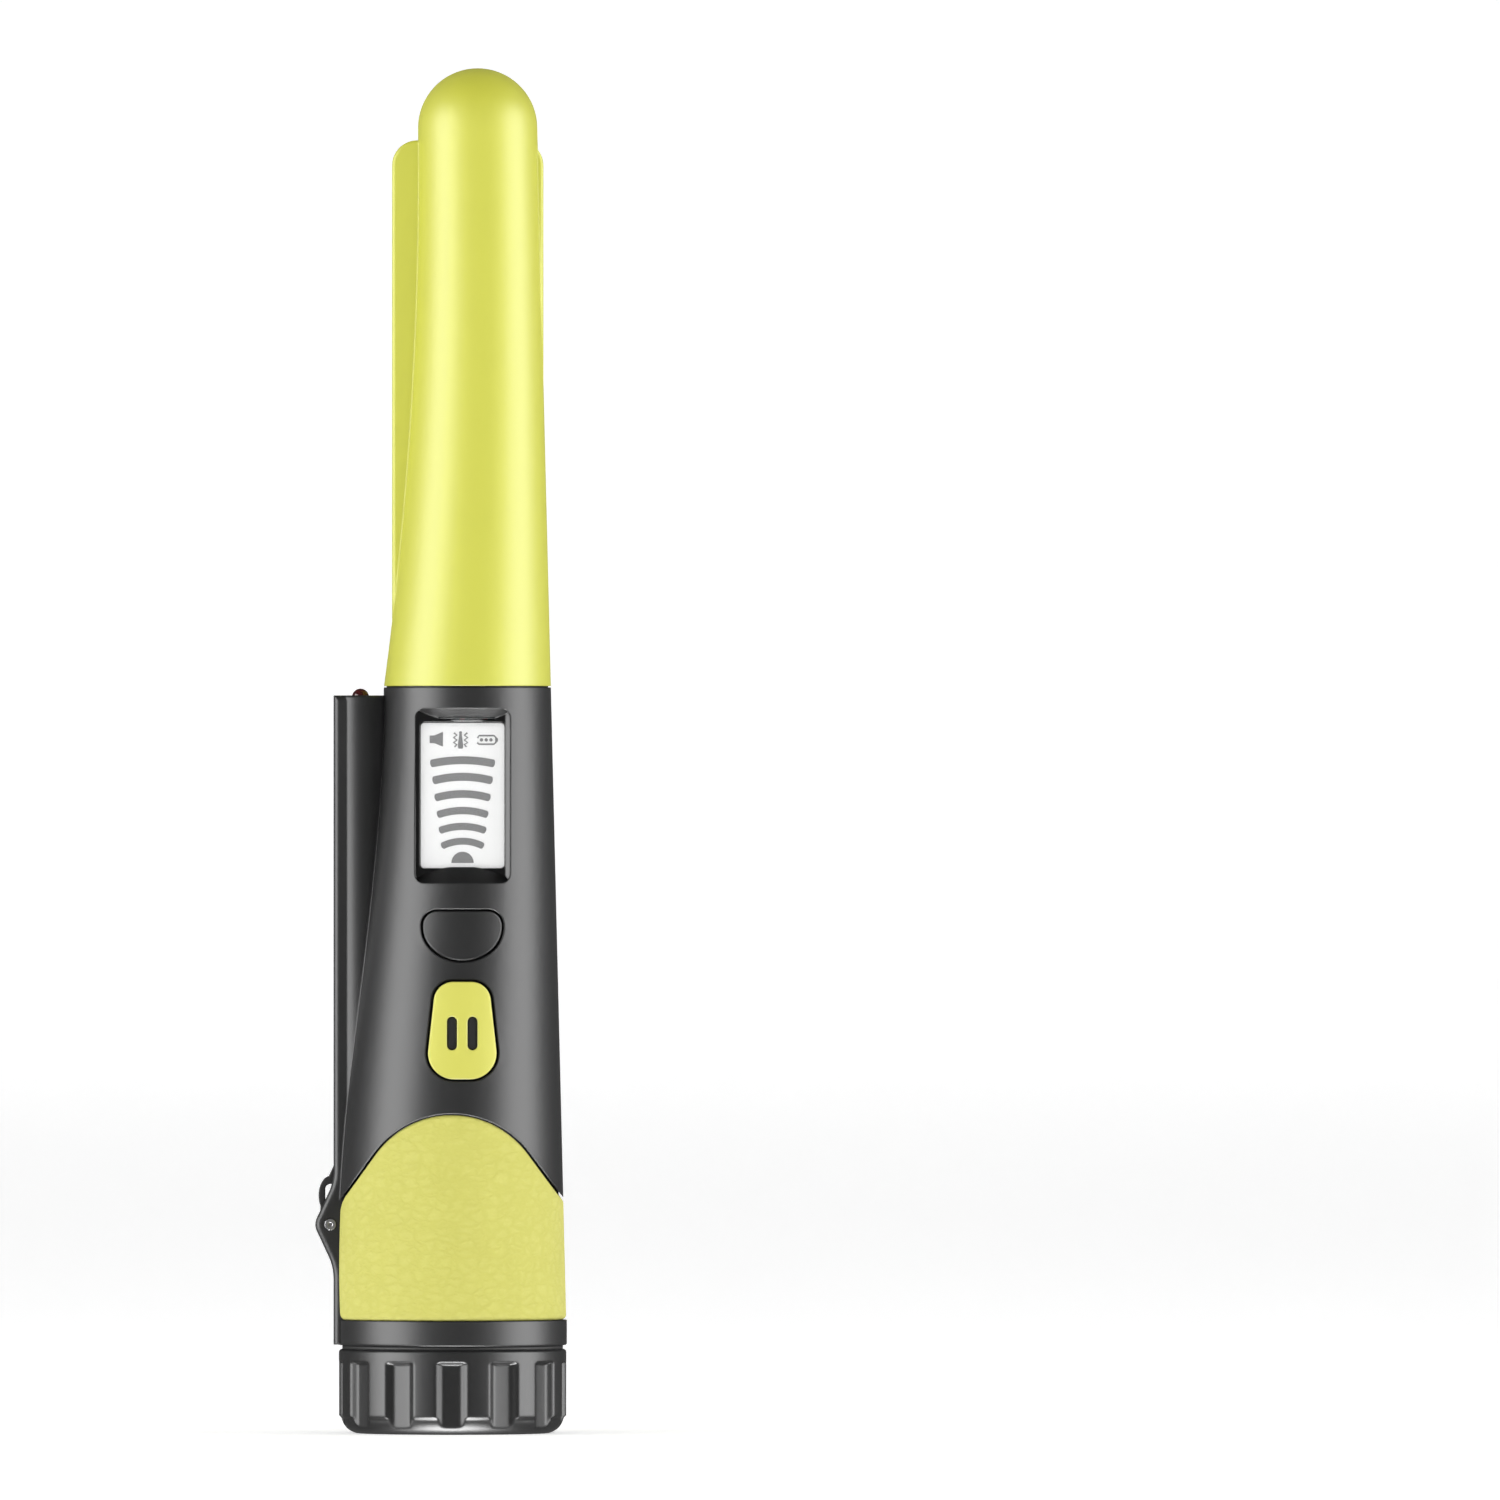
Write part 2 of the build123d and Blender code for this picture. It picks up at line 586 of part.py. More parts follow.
def cap_pocket(angle):
    """One finger pocket with sloped sides, running out through the cap's lower corner."""
    reach = 2.0  # the cut starts this far outside the pocket's floor
    slope = (CAP_POCKET_W - CAP_POCKET_FLOOR_W) / 2 / CAP_POCKET_D
    grow = 2 * reach * slope
    low, high = -reach, CAP_POCKET_HIGH - slope * CAP_POCKET_D
    side = Plane(origin=(CAP_R - CAP_POCKET_D, 0, (low + high) / 2), x_dir=(0, 1, 0), z_dir=(1, 0, 0))
    floor = side * RectangleRounded(CAP_POCKET_FLOOR_W, high - low, 0.6)
    rounding = 0.6 + grow / 3
    mouth = side.offset(reach) * RectangleRounded(CAP_POCKET_FLOOR_W + grow, high - low + grow, rounding)
    return Rot(0, 0, angle) * loft([floor, mouth], ruled=True)


def end_cap():
    """Screw cap with finger pockets, a neck with a seal groove and a hollow for the battery's end."""
    corner = CAP_R - CAP_STEP_IN
    middle = ((CAP_FOOT_R + corner) / 2 + CAP_FOOT_BULGE, (CAP_STEP_Z - CAP_STEP_IN) / 2 - CAP_FOOT_BULGE)
    outline = Polyline((0, 0), (CAP_FOOT_R, 0))
    outline += ThreePointArc((CAP_FOOT_R, 0), middle, (corner, CAP_STEP_Z - CAP_STEP_IN))
    outline += Polyline(
        (corner, CAP_STEP_Z - CAP_STEP_IN),
        (CAP_R, CAP_STEP_Z),
        (CAP_R, CAP_H - 0.6),
        (CAP_R - 0.6, CAP_H),
        (NECK_ROOT_R, CAP_H),
        (NECK_ROOT_R, NECK_TOP - 0.6),
        (NECK_ROOT_R - 0.6, NECK_TOP),
        (0, NECK_TOP),
        (0, 0),
    )
    cap = revolve(Plane.XZ * make_face(outline), Axis.Z)
    cap -= rod(0, 0, CAP_FLOOR, NECK_TOP + 1, NECK_BORE_R)
    for i in range(CAP_POCKETS):
        cap -= cap_pocket(i * 360 / CAP_POCKETS - 90)
    return cap


SEAL_Z = CAP_H + 2.2


def cap_oring():
    return Pos(0, 0, SEAL_Z) * Torus(NECK_ROOT_R + 0.02 + SEAL_WIRE_R * 0.72, SEAL_WIRE_R * 0.7)


def pressure_pad():
    return rod(0, 0, CAP_FLOOR, CAP_FLOOR + PAD_T, NECK_BORE_R - 1.0)


def battery_case():
    case = extrude(Plane.XY.offset(BATTERY_Z) * battery_outline(), BATTERY_H)
    return fillet(case.edges().group_by(Axis.Z)[0] + case.edges().group_by(Axis.Z)[-1], 0.5)


TERMINAL_PITCH = 12.7


def battery_terminals():
    """Small and large snap studs on the battery's end."""
    small = rod(-TERMINAL_PITCH / 2, 0, TERMINAL_Z, CONTACT_Z, 2.8)
    large = rod(TERMINAL_PITCH / 2, 0, TERMINAL_Z, CONTACT_Z, 4.0)
    large -= rod(TERMINAL_PITCH / 2, 0, TERMINAL_Z + 0.8, CONTACT_Z + 1, 3.0)
    return Compound(children=[small.solid(), large.solid()])


def battery_contacts():
    """Spring plates that the battery's studs press on."""
    places = (-TERMINAL_PITCH / 2, TERMINAL_PITCH / 2)
    return Compound(children=[rod(x, 0, CONTACT_Z, CONTACT_Z + CONTACT_T, 3.4).solid() for x in places])


def contact_board():
    z = CONTACT_Z + CONTACT_T
    return extrude(Plane.XY.offset(z) * battery_outline(BATTERY_CLEAR - 0.05), BOARD_T)


# ---------------------------------------------------------------- keys and their switches
SWITCH_W = 6.0
SWITCH_H = 3.4
SWITCH_FACE_Y = PCB_FACE_Y - SWITCH_H
PLUNGER_R = 1.6
PLUNGER_TIP_Y = SWITCH_FACE_Y - 1.5
LIP_T = 0.8
LIP_CLEAR = 0.1


def key_lip(outline, z):
    """Curved flange behind the shell that keeps a key from falling out."""
    band = handle_form(-SHELL_WALL - LIP_CLEAR) - handle_form(-SHELL_WALL - LIP_CLEAR - LIP_T)
    return band & through_y(outline, FACE_X, z, -FAR, 0)


def key_stem(z):
    """Post from the flange to the switch's plunger."""
    return cross_rod(FACE_X, z, face_y(z, grow=-SHELL_WALL - LIP_T), PLUNGER_TIP_Y, 2.0)


def mode_key():
    body = handle_form() - handle_form(-SHELL_WALL - LIP_CLEAR - 0.2)
    body &= through_y(mode_outline(KEY_GAP), FACE_X, MODE_AXIS_Z, -FAR, 0)
    lip = key_lip(mode_outline(-KEY_LIP), MODE_AXIS_Z)
    return body + lip + key_stem(MODE_Z)


def power_slots(shrink=0.0):
    """The two upright bars in the middle of the power key."""
    bar = SlotOverall(SLOT_L - 2 * shrink, SLOT_W - 2 * shrink, rotation=90)
    z = POWER_Z - 0.5
    left = through_y(bar, FACE_X - SLOT_PITCH / 2, z, -FAR, 0)
    return left + through_y(bar, FACE_X + SLOT_PITCH / 2, z, -FAR, 0)


def power_key_cap():
    """Coloured cap of the power key, pierced by two slots."""
    body = handle_form(POWER_PROUD) - handle_form(POWER_PROUD - KEY_CAP_T)
    body &= through_y(power_outline(KEY_GAP), FACE_X, POWER_Z, -FAR, 0)
    return body - power_slots()


def power_key_core():
    """Dark core of the power key: two bars that fill the slots, the flange and the stem."""
    top = POWER_PROUD - KEY_CAP_T
    body = handle_form(top) - handle_form(-SHELL_WALL - LIP_CLEAR - 0.2)
    body &= through_y(power_outline(KEY_GAP), FACE_X, POWER_Z, -FAR, 0)
    bars = (handle_form(POWER_PROUD - 0.35) - handle_form(top - 0.2)) & power_slots(0.08)
    return body + bars + key_lip(power_outline(-KEY_LIP), POWER_Z) + key_stem(POWER_Z)


def switch_body(z):
    half = SWITCH_W / 2
    body = slab(FACE_X - half, FACE_X + half, SWITCH_FACE_Y, PCB_FACE_Y, z - half, z + half)
    return body - cross_rod(FACE_X, z, SWITCH_FACE_Y - 1, PCB_FACE_Y - 0.6, PLUNGER_R + 0.1)


def switch_plunger(z):
    return cross_rod(FACE_X, z, PLUNGER_TIP_Y, PCB_FACE_Y - 0.6 - KEY_TRAVEL - 0.3, PLUNGER_R)


# ---------------------------------------------------------------- display and board
def lcd_window():
    return lcd_block(LCD_W, LCD_H, LCD_CORNER_R, POCKET_D, POCKET_D + WINDOW_T)


def lcd_panel():
    depth = POCKET_D + WINDOW_T
    return lcd_block(LCD_W, LCD_H, LCD_CORNER_R, depth, depth + PANEL_T)


def lcd_connector():
    """Elastomer strip that joins the display to the board."""
    back = slab(
        FACE_X - CONNECTOR_W / 2,
        FACE_X + CONNECTOR_W / 2,
        -FAR,
        PCB_FACE_Y,
        CONNECTOR_Z - CONNECTOR_T / 2,
        CONNECTOR_Z + CONNECTOR_T / 2,
    )
    depth = POCKET_D + WINDOW_T + PANEL_T
    return back - lcd_block(FAR, FAR, 1, -FAR, depth)


def main_board():
    board = slab(FACE_X - PCB_W / 2, FACE_X + PCB_W / 2, PCB_FACE_Y, PCB_BACK_Y, PCB_LOW, PCB_HIGH)
    board = fillet(board.edges().filter_by(Axis.Y), 1.0)
    for x, z in pcb_post_places():
        board -= cross_rod(x, z, PCB_FACE_Y - 1, PCB_BACK_Y + 1, PCB_SCREW_R + 0.15)
    for x, z in shell_screw_places():
        board -= cross_rod(x, z, PCB_FACE_Y - 1, PCB_BACK_Y + 1, SCREW_BOSS_R + 0.2)
    return board


def board_screws():
    screws = []
    for x, z in pcb_post_places():
        screw = cross_rod(x, z, PCB_FACE_Y, PCB_BACK_Y + 4, PCB_SCREW_R - 0.02)
        head = cross_rod(x, z, PCB_FACE_Y - 1.1, PCB_FACE_Y, 1.5)
        turned = Pos(x, 0, z) * Rot(0, 0, 180) * Pos(-x, 0, -z)
        screws.append((screw + head) - turned * cross_recess(x, -PCB_FACE_Y + 1.1, z, 0.9, 0.6))
    return Compound(children=[s.solid() for s in screws])


CHIPS = (  # places on the back of the board: x from the centre, z from the lower edge, and sizes
    (0.0, 22.0, 7.0, 7.0, 1.2),
    (-6.0, 33.0, 5.0, 4.0, 1.5),
    (6.2, 33.5, 4.0, 6.0, 1.5),
    (6.8, 15.0, 3.2, 2.5, 1.1),
    (-6.8, 15.5, 3.2, 1.6, 0.9),
    (-6.6, 22.5, 3.2, 1.6, 0.9),
)


def board_chips():
    chips = []
    for x, z, width, height, thick in CHIPS:
        at_x, at_z = FACE_X + x, PCB_LOW + z
        chip = Pos(at_x, PCB_BACK_Y + thick / 2, at_z) * Box(width, thick, height)
        chips.append(chip)
    return Compound(children=[c.solid() for c in chips])


BUZZER_R = 7.5
BUZZER_T = 4.2
BUZZER_Z = PCB_HIGH - 6.5 - BUZZER_R


def buzzer():
    """Sealed piezo sounder on the back of the board."""
    case = cross_rod(FACE_X, BUZZER_Z, PCB_BACK_Y, PCB_BACK_Y + BUZZER_T, BUZZER_R)
    case = fillet(case.edges().sort_by(Axis.Y)[-1], 0.5)
    return case - cross_rod(FACE_X, BUZZER_Z, PCB_BACK_Y + BUZZER_T - 0.8, PCB_BACK_Y + BUZZER_T + 1, 1.2)


MOTOR_R = 3.0
MOTOR_L = 11.0
MOTOR_Y = PCB_BACK_Y + 3.2 + MOTOR_R
MOTOR_Z = PCB_LOW + 3.0
MOTOR_WEIGHT_L = 3.4


def motor_boot():
    """Rubber saddle that holds the vibration motor against the board."""
    boot = slab(FACE_X - 4, FACE_X + 4, PCB_BACK_Y, MOTOR_Y + 1.0, MOTOR_Z + 1.0, MOTOR_Z + MOTOR_L - 1.0)
    return boot - rod(FACE_X, MOTOR_Y, MOTOR_Z - 1, MOTOR_Z + MOTOR_L + 1, MOTOR_R + 0.02)


def vibration_motor():
    can = rod(FACE_X, MOTOR_Y, MOTOR_Z, MOTOR_Z + MOTOR_L, MOTOR_R)
    return can - rod(FACE_X, MOTOR_Y, MOTOR_Z + 6, MOTOR_Z + MOTOR_L + 1, 0.5)


def motor_weight():
    """Half-round weight on the motor's shaft."""
    z0 = MOTOR_Z + MOTOR_L + 0.5
    half = rod(FACE_X, MOTOR_Y, z0, z0 + MOTOR_WEIGHT_L, MOTOR_R)
    half &= slab(-FAR, FAR, MOTOR_Y - 0.8, FAR, 0, SEAM_Z)
    return half + rod(FACE_X, MOTOR_Y, MOTOR_Z + 6.2, z0 + MOTOR_WEIGHT_L, 0.45)


# ---------------------------------------------------------------- lamp
LAMP_BALL_Z = KEEL_TOP - 0.3


def lamp():
    body = rod(LAMP_X, 0, KEEL_TOP - 4.5, LAMP_BALL_Z, LAMP_R)
    body += Pos(LAMP_X, 0, LAMP_BALL_Z) * Sphere(LAMP_R)
    body += rod(LAMP_X, 0, KEEL_TOP - 4.5, KEEL_TOP - 3.5, LAMP_R + 0.4)
    for side in (-1, 1):
        body += rod(LAMP_X, side * 0.64, KEEL_TOP - 12, KEEL_TOP - 4.4, 0.25)
    return body


def lamp_collar():
    """Rubber ring that seals the lamp in the keel's shoulder."""
    ring = rod(LAMP_X, 0, KEEL_TOP - 3.35, KEEL_TOP - 0.05, LAMP_R + 0.9)
    return ring - rod(LAMP_X, 0, KEEL_TOP - 4, KEEL_TOP + 1, LAMP_R + 0.03)


# ---------------------------------------------------------------- lanyard link
def lanyard_pin():
    """Steel pin through both ears, with a small centre mark in each end."""
    pin = cross_rod(PIN_X, PIN_Z, -KEEL_T / 2 - 0.15, KEEL_T / 2 + 0.15, PIN_R - 0.01)
    for side in (-1, 1):
        pin -= Pos(PIN_X, side * (KEEL_T / 2 + 0.15), PIN_Z) * Rot(90, 0, 0) * Cylinder(0.4, 0.4)
    return pin


LINK_EYE_UP = 5.4
LINK_EYE_W = 1.9
LINK_EYE_L = 3.4


def link_outline():
    """Side of the link: a round heel on the pin, a bulge with the eye and a tapered nose."""
    heel = 1.95
    heel_circle = Circle(heel)
    bulge = Pos(-0.05, LINK_EYE_UP - 0.3) * Ellipse(2.05, 3.4)
    web = Polygon((-1.75, 0), (1.75, 0), (1.8, LINK_EYE_UP), (-1.8, LINK_EYE_UP), align=None)
    nose = Polygon((-1.75, LINK_EYE_UP), (2.0, LINK_EYE_UP), (2.0, 10.4), (0.9, 11.1), align=None)
    return heel_circle + web + bulge + nose


def lanyard_link():
    """Small moulded link with a long eye for the lanyard's cord, folded up into the keel's slot."""
    link = through_y(link_outline(), PIN_X, PIN_Z, -LINK_T / 2, LINK_T / 2)
    eye = SlotOverall(LINK_EYE_L, LINK_EYE_W, rotation=90)
    link -= through_y(eye, PIN_X, PIN_Z + LINK_EYE_UP, -FAR, FAR)
    return link - cross_rod(PIN_X, PIN_Z, -FAR, FAR, PIN_R + 0.04)


# ---------------------------------------------------------------- wires held inside
def wire(points, bends, r):
    """A wire of straight runs joined by arcs."""
    path = FilletPolyline(*points, radius=bends)
    start = Plane(origin=path @ 0, z_dir=path % 0)
    return sweep(start * Circle(r), path)


WIRE_R = 0.45


def battery_wires():
    """Two wires from the contact board up to the back of the main board."""
    z0 = TUBE_TOP - TUBE_LID_T
    wires = []
    for side in (-1, 1):
        x = side * 1.1
        end_y = PCB_BACK_Y + WIRE_R + 0.05
        run = [(x, 0, z0), (x, 0, z0 + 2.2), (x, end_y, z0 + 4.6), (x, end_y, z0 + 6.2)]
        wires.append(wire(run, 0.7, WIRE_R))
    return Compound(children=[w.solid() for w in wires])


def coil_wires():
    """Two leads from the coil bobbin down to the top of the main board."""
    wires = []
    for side in (-1, 1):
        x = BOBBIN_X + side * 2.0
        end_y = PCB_BACK_Y + WIRE_R + 0.05
        run = [(x, 0, BOBBIN_LOW), (x, 0, BOBBIN_LOW - 5), (x, end_y, PCB_HIGH + 1), (x, end_y, PCB_HIGH - 4)]
        wires.append(wire(run, 1.5, WIRE_R))
    return Compound(children=[w.solid() for w in wires])


def lamp_wires():
    """Two leads from the lamp through the keel's window to the board's edge."""
    wires = []
    z0 = KEEL_TOP - 12
    for side in (-1, 1):
        y = side * 0.64
        run = [(LAMP_X, y, z0), (LAMP_X, y, z0 - 3), (FACE_X - PCB_W / 2 + 1, y, z0 - 3)]
        wires.append(wire(run, 1.2, 0.35))
    return Compound(children=[w.solid() for w in wires])


# ---------------------------------------------------------------- every node and its file
def build():
    low, mid, high, top = flange_levels()
    return {
        "tip_shell": tip_shell(),
        "neck_plug": neck_plug(),
        "neck_oring": neck_oring(),
        "coil_bobbin": coil_bobbin(),
        "ferrite_rod": ferrite_rod(),
        "transmit_coil": winding(mid + FLANGE_T, high),
        "receive_coils": Compound(
            children=[winding(low + FLANGE_T, mid).solid(), winding(high + FLANGE_T, top).solid()]
        ),
        "front_shell": front_shell(),
        "rear_shell": rear_shell(),
        "shell_gasket": shell_gasket(),
        "shell_screws": shell_screws(),
        "grip_sleeve": grip_sleeve(),
        "battery_tube": battery_tube(),
        "end_cap": end_cap(),
        "cap_oring": cap_oring(),
        "pressure_pad": pressure_pad(),
        "battery_case": battery_case(),
        "battery_terminals": battery_terminals(),
        "battery_contacts": battery_contacts(),
        "contact_board": contact_board(),
        "mode_key": mode_key(),
        "mode_switch": switch_body(MODE_Z),
        "mode_plunger": switch_plunger(MODE_Z),
        "power_key_cap": power_key_cap(),
        "power_key_core": power_key_core(),
        "power_switch": switch_body(POWER_Z),
        "power_plunger": switch_plunger(POWER_Z),
        "lcd_window": lcd_window(),
        "lcd_panel": lcd_panel(),
        "lcd_connector": lcd_connector(),
        "main_board": main_board(),
        "board_screws": board_screws(),
        "board_chips": board_chips(),
        "buzzer": buzzer(),
        "motor_boot": motor_boot(),
        "vibration_motor": vibration_motor(),
        "motor_weight": motor_weight(),
        "lamp": lamp(),
        "lamp_collar": lamp_collar(),
        "lanyard_pin": lanyard_pin(),
        "lanyard_link": lanyard_link(),
        "battery_wires": battery_wires(),
        "coil_wires": coil_wires(),
        "lamp_wires": lamp_wires(),
    }


os.makedirs("parts", exist_ok=True)
for name, shape in build().items():
    pieces = shape.solids()
    export_step(pieces[0] if len(pieces) == 1 else Compound(children=list(pieces)), f"parts/{name}.step")
    print(name, len(pieces), round(sum(s.volume for s in pieces), 1))
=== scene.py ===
import bmesh
import bpy
import numpy as np
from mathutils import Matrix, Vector


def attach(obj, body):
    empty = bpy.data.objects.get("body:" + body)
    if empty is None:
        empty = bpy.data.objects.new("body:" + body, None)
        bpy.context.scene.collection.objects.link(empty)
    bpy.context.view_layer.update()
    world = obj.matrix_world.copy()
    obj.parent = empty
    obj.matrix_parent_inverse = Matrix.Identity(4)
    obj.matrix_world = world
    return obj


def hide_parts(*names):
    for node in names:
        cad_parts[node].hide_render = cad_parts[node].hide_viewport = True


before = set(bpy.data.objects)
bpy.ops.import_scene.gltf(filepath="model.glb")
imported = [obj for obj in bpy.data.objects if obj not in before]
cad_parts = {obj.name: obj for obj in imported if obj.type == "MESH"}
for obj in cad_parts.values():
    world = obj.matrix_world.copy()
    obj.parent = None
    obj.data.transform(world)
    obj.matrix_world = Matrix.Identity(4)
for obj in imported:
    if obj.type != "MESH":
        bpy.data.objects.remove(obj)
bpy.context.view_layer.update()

# ---------------------------------------------------------------- sensing tip
# One shell of bright yellow nylon with its scraping blade moulded through it. It leaves the tool with a
# fine satin skin, and its edges are paler: a little worn where it has been pushed through soil, and a painted
# highlight.


class Socket:
    """One output of a shader node. An operator on it adds the Math node that does the sum."""

    def __init__(self, finish, socket):
        self.finish, self.socket = finish, socket

    def math(self, operation, first, second):
        return self.finish.node("ShaderNodeMath", {"operation": operation}, {0: first, 1: second})

    def __add__(self, other):
        return self.math("ADD", self, other)

    def __sub__(self, other):
        return self.math("SUBTRACT", self, other)

    def __rsub__(self, other):
        return self.math("SUBTRACT", other, self)

    def __mul__(self, other):
        return self.math("MULTIPLY", self, other)

    def __pow__(self, other):
        return self.math("POWER", self, other)

    def __abs__(self):
        return self.math("ABSOLUTE", self, 0.0)

    __radd__, __rmul__ = __add__, __mul__


class Finish:
    """One material. Its patterns are read in metres from the piece's own place."""

    def __init__(self, name):
        self.material = bpy.data.materials.new(name)
        self.material.use_nodes = True
        self.tree = self.material.node_tree
        self.tree.nodes.clear()
        self.place = self.node("ShaderNodeTexCoord", {}, {}, "Object")

    def node(self, kind, settings, sockets, out=0):
        """Adds a node: its settings first, then a number, colour or link for each socket."""
        made = self.tree.nodes.new(kind)
        for key, value in settings.items():
            setattr(made, key, value)
        for key, value in sockets.items():
            if isinstance(value, Socket):
                self.tree.links.new(value.socket, made.inputs[key])
            else:
                made.inputs[key].default_value = value
        return Socket(self, made.outputs[out]) if made.outputs else made

    def axis(self, letter):
        """Place along X, Y or Z, in metres."""
        return self.node("ShaderNodeSeparateXYZ", {}, {0: self.place}, letter)

    def stretched(self, x, y, z):
        """The piece's place with each axis scaled, to draw a pattern out in one direction."""
        sockets = {"Vector": self.place, "Scale": (x, y, z)}
        return self.node("ShaderNodeMapping", {"vector_type": "POINT"}, sockets)

    def noise(self, size, detail=2.0, roughness=0.5, place=None):
        """Cloudy values from 0 to 1 whose blotches are about size wide."""
        sockets = {"Vector": place or self.place, "Scale": 1 / size, "Detail": detail, "Roughness": roughness}
        return self.node("ShaderNodeTexNoise", {}, sockets, "Fac")

    def cells(self, size, place=None):
        """Pebbled cells about size wide: 0 in the creases between them."""
        sockets = {"Vector": place or self.place, "Scale": 1 / size}
        return self.node("ShaderNodeTexVoronoi", {"feature": "DISTANCE_TO_EDGE"}, sockets, "Distance")

    def step(self, value, low, high):
        """Smooth step of a value from 0 at low to 1 at high."""
        sockets = {0: value, 1: low, 2: high}
        return self.node("ShaderNodeMapRange", {"interpolation_type": "SMOOTHSTEP"}, sockets)

    def sine(self, angle):
        """Sine of an angle in radians."""
        return self.node("ShaderNodeMath", {"operation": "SINE"}, {0: angle})

    def blend(self, mask, first, second):
        """Colour that goes from first to second as the mask goes from 0 to 1."""
        return self.node("ShaderNodeMix", {"data_type": "RGBA"}, {0: mask, 6: first, 7: second}, 2)

    def soft_edges(self, radius):
        """Normal that rounds a moulding's edges to a radius."""
        return self.node("ShaderNodeBevel", {"samples": 6}, {"Radius": radius})

    def edge_mask(self, radius):
        """1 along sharp edges, 0 on open faces: how far the rounded normal leans from the face's own."""
        own = self.node("ShaderNodeNewGeometry", {}, {}, "Normal")
        sockets = {0: self.soft_edges(radius), 1: own}
        lean = self.node("ShaderNodeVectorMath", {"operation": "DOT_PRODUCT"}, sockets, "Value")
        return self.step(1 - lean, 0.02, 0.3)

    def bump(self, height, depth, normal=None):
        """Normal of a relief, where height 0 to 1 stands for 0 to depth."""
        sockets = {"Height": height, "Distance": depth}
        if normal:
            sockets["Normal"] = normal
        return self.node("ShaderNodeBump", {}, sockets)

    def surface(self, **sockets):
        """Closes the finish with its Principled shader and gives the material."""
        named = {key.replace("_", " "): value for key, value in sockets.items()}
        shader = self.node("ShaderNodeBsdfPrincipled", {}, named)
        self.node("ShaderNodeOutputMaterial", {}, {0: shader})
        return self.material


def cover(material, *names):
    """Gives CAD nodes their finish."""
    for name in names:
        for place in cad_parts[name].material_slots:
            place.material = material


def satin_yellow(name, colour, edge):
    """Satin yellow plastic: a fine skin, faint clouding, pale edges that are partly worn and partly a painted
    highlight, and small scuffs.
    """
    finish = Finish(name)
    fine = finish.noise(0.00022, 2.0, 0.6)
    cloud = finish.noise(0.012, 3.0)
    scuff = finish.step(finish.noise(0.003, 6.0, 0.72, finish.stretched(1, 1, 0.35)), 0.60, 0.74)
    wear_and_highlight = finish.edge_mask(edge) * finish.step(finish.noise(0.0012, 4.0), 0.35, 0.6)
    deep = tuple(0.96 * c for c in colour[:3]) + (1,)
    worn_and_lit = (min(colour[0] * 1.1, 1), min(colour[1] * 1.1, 1), colour[2] * 1.9, 1)
    # Painted highlight: the edges are paler, partly as wear and partly as a painted highlight along them.
    base = finish.blend(0.55 * wear_and_highlight, finish.blend(cloud, deep, colour), worn_and_lit)
    return finish.surface(
        Base_Color=base,
        Roughness=0.43 + 0.05 * fine + 0.06 * scuff,
        Normal=finish.bump(fine, 0.000010, finish.soft_edges(edge)),
    )


YELLOW = (0.575, 0.582, 0.053, 1)
cover(satin_yellow("tip_yellow", YELLOW, 0.0005), "tip_shell")

# ---------------------------------------------------------------- coil in the tip
# A ferrite rod in a white nylon bobbin with three enamelled copper windings between its flanges. Two
# leads run down through the neck plug, which is glued into tip and handle and sealed by an O-ring.

WIRE_SPACING = 0.00019
ENAMEL = ((0.46, 0.145, 0.045, 1), (0.58, 0.20, 0.065, 1))


def copper_winding():
    """Enamelled wire wound in even turns: a round ridge each turn, in a warm, slightly uneven enamel."""
    finish = Finish("enamelled_copper")
    turns = finish.sine((2 * np.pi / WIRE_SPACING) * finish.axis("Z"))
    shade = finish.noise(0.002, 3.0)
    return finish.surface(
        Base_Color=finish.blend(shade, *ENAMEL),
        Metallic=0.85,
        Roughness=0.28 + 0.1 * shade,
        Normal=finish.bump(0.5 + 0.5 * turns, 0.00005),
    )


def plain_part(name, colour, other, roughness, grain=0.0003, depth=0.00001, metal=0.0, edge=0.00025):
    """A moulded, cut or cast small part: two near shades, a fine grain and softened edges."""
    finish = Finish(name)
    shade = finish.noise(0.003, 4.0)
    fine = finish.noise(grain, 2.0)
    return finish.surface(
        Base_Color=finish.blend(shade, colour, other),
        Metallic=metal,
        Roughness=roughness + 0.08 * fine + 0.04 * shade,
        Normal=finish.bump(fine, depth, finish.soft_edges(edge)),
    )


cover(copper_winding(), "transmit_coil", "receive_coils")
cover(plain_part("bobbin_nylon", (0.72, 0.70, 0.62, 1), (0.66, 0.64, 0.56, 1), 0.42), "coil_bobbin")
ferrite = plain_part("ferrite", (0.035, 0.034, 0.036, 1), (0.055, 0.053, 0.052, 1), 0.5, 0.0005, 0.00003)
cover(ferrite, "ferrite_rod")
red_lead = plain_part("red_lead", (0.42, 0.015, 0.012, 1), (0.36, 0.012, 0.010, 1), 0.38)
black_lead = plain_part("black_lead", (0.018, 0.018, 0.018, 1), (0.025, 0.025, 0.025, 1), 0.38)
cover(red_lead, "coil_wires", "battery_wires")
cover(black_lead, "lamp_wires")

# ---------------------------------------------------------------- handle shells
# Two shells of black glass-filled nylon with an even satin skin, a thin rubber gasket in the joint
# between them, and four screws from the back. The recess round the display is glossier, and painted darker as
# painted shade.

SPINE_X = 0.0201  # the handle's right-hand side starts here, at the height of SPINE_LOW
SPINE_LOW = 0.0155
SPINE_SLOPE = 0.0243
HANDLE_STATIONS = np.array([(0.0155, 0.0201), (0.05307, 0.0193), (0.094108, 0.0165), (0.1311, 0.0147)])
MOUTH_MIDDLE = (0.00185, 0.11205)
MOUTH_SIZE = (0.0167, 0.0308)


def handle_radius(z):
    """Radius at height z: the cubic that passes through the four stations, in Lagrange's form."""
    z = np.asarray(z, dtype=float)
    total = np.zeros_like(z)
    for i, (height, radius) in enumerate(HANDLE_STATIONS):
        others = np.delete(HANDLE_STATIONS[:, 0], i)
        total += radius * np.prod([(z - other) / (height - other) for other in others], axis=0)
    return total


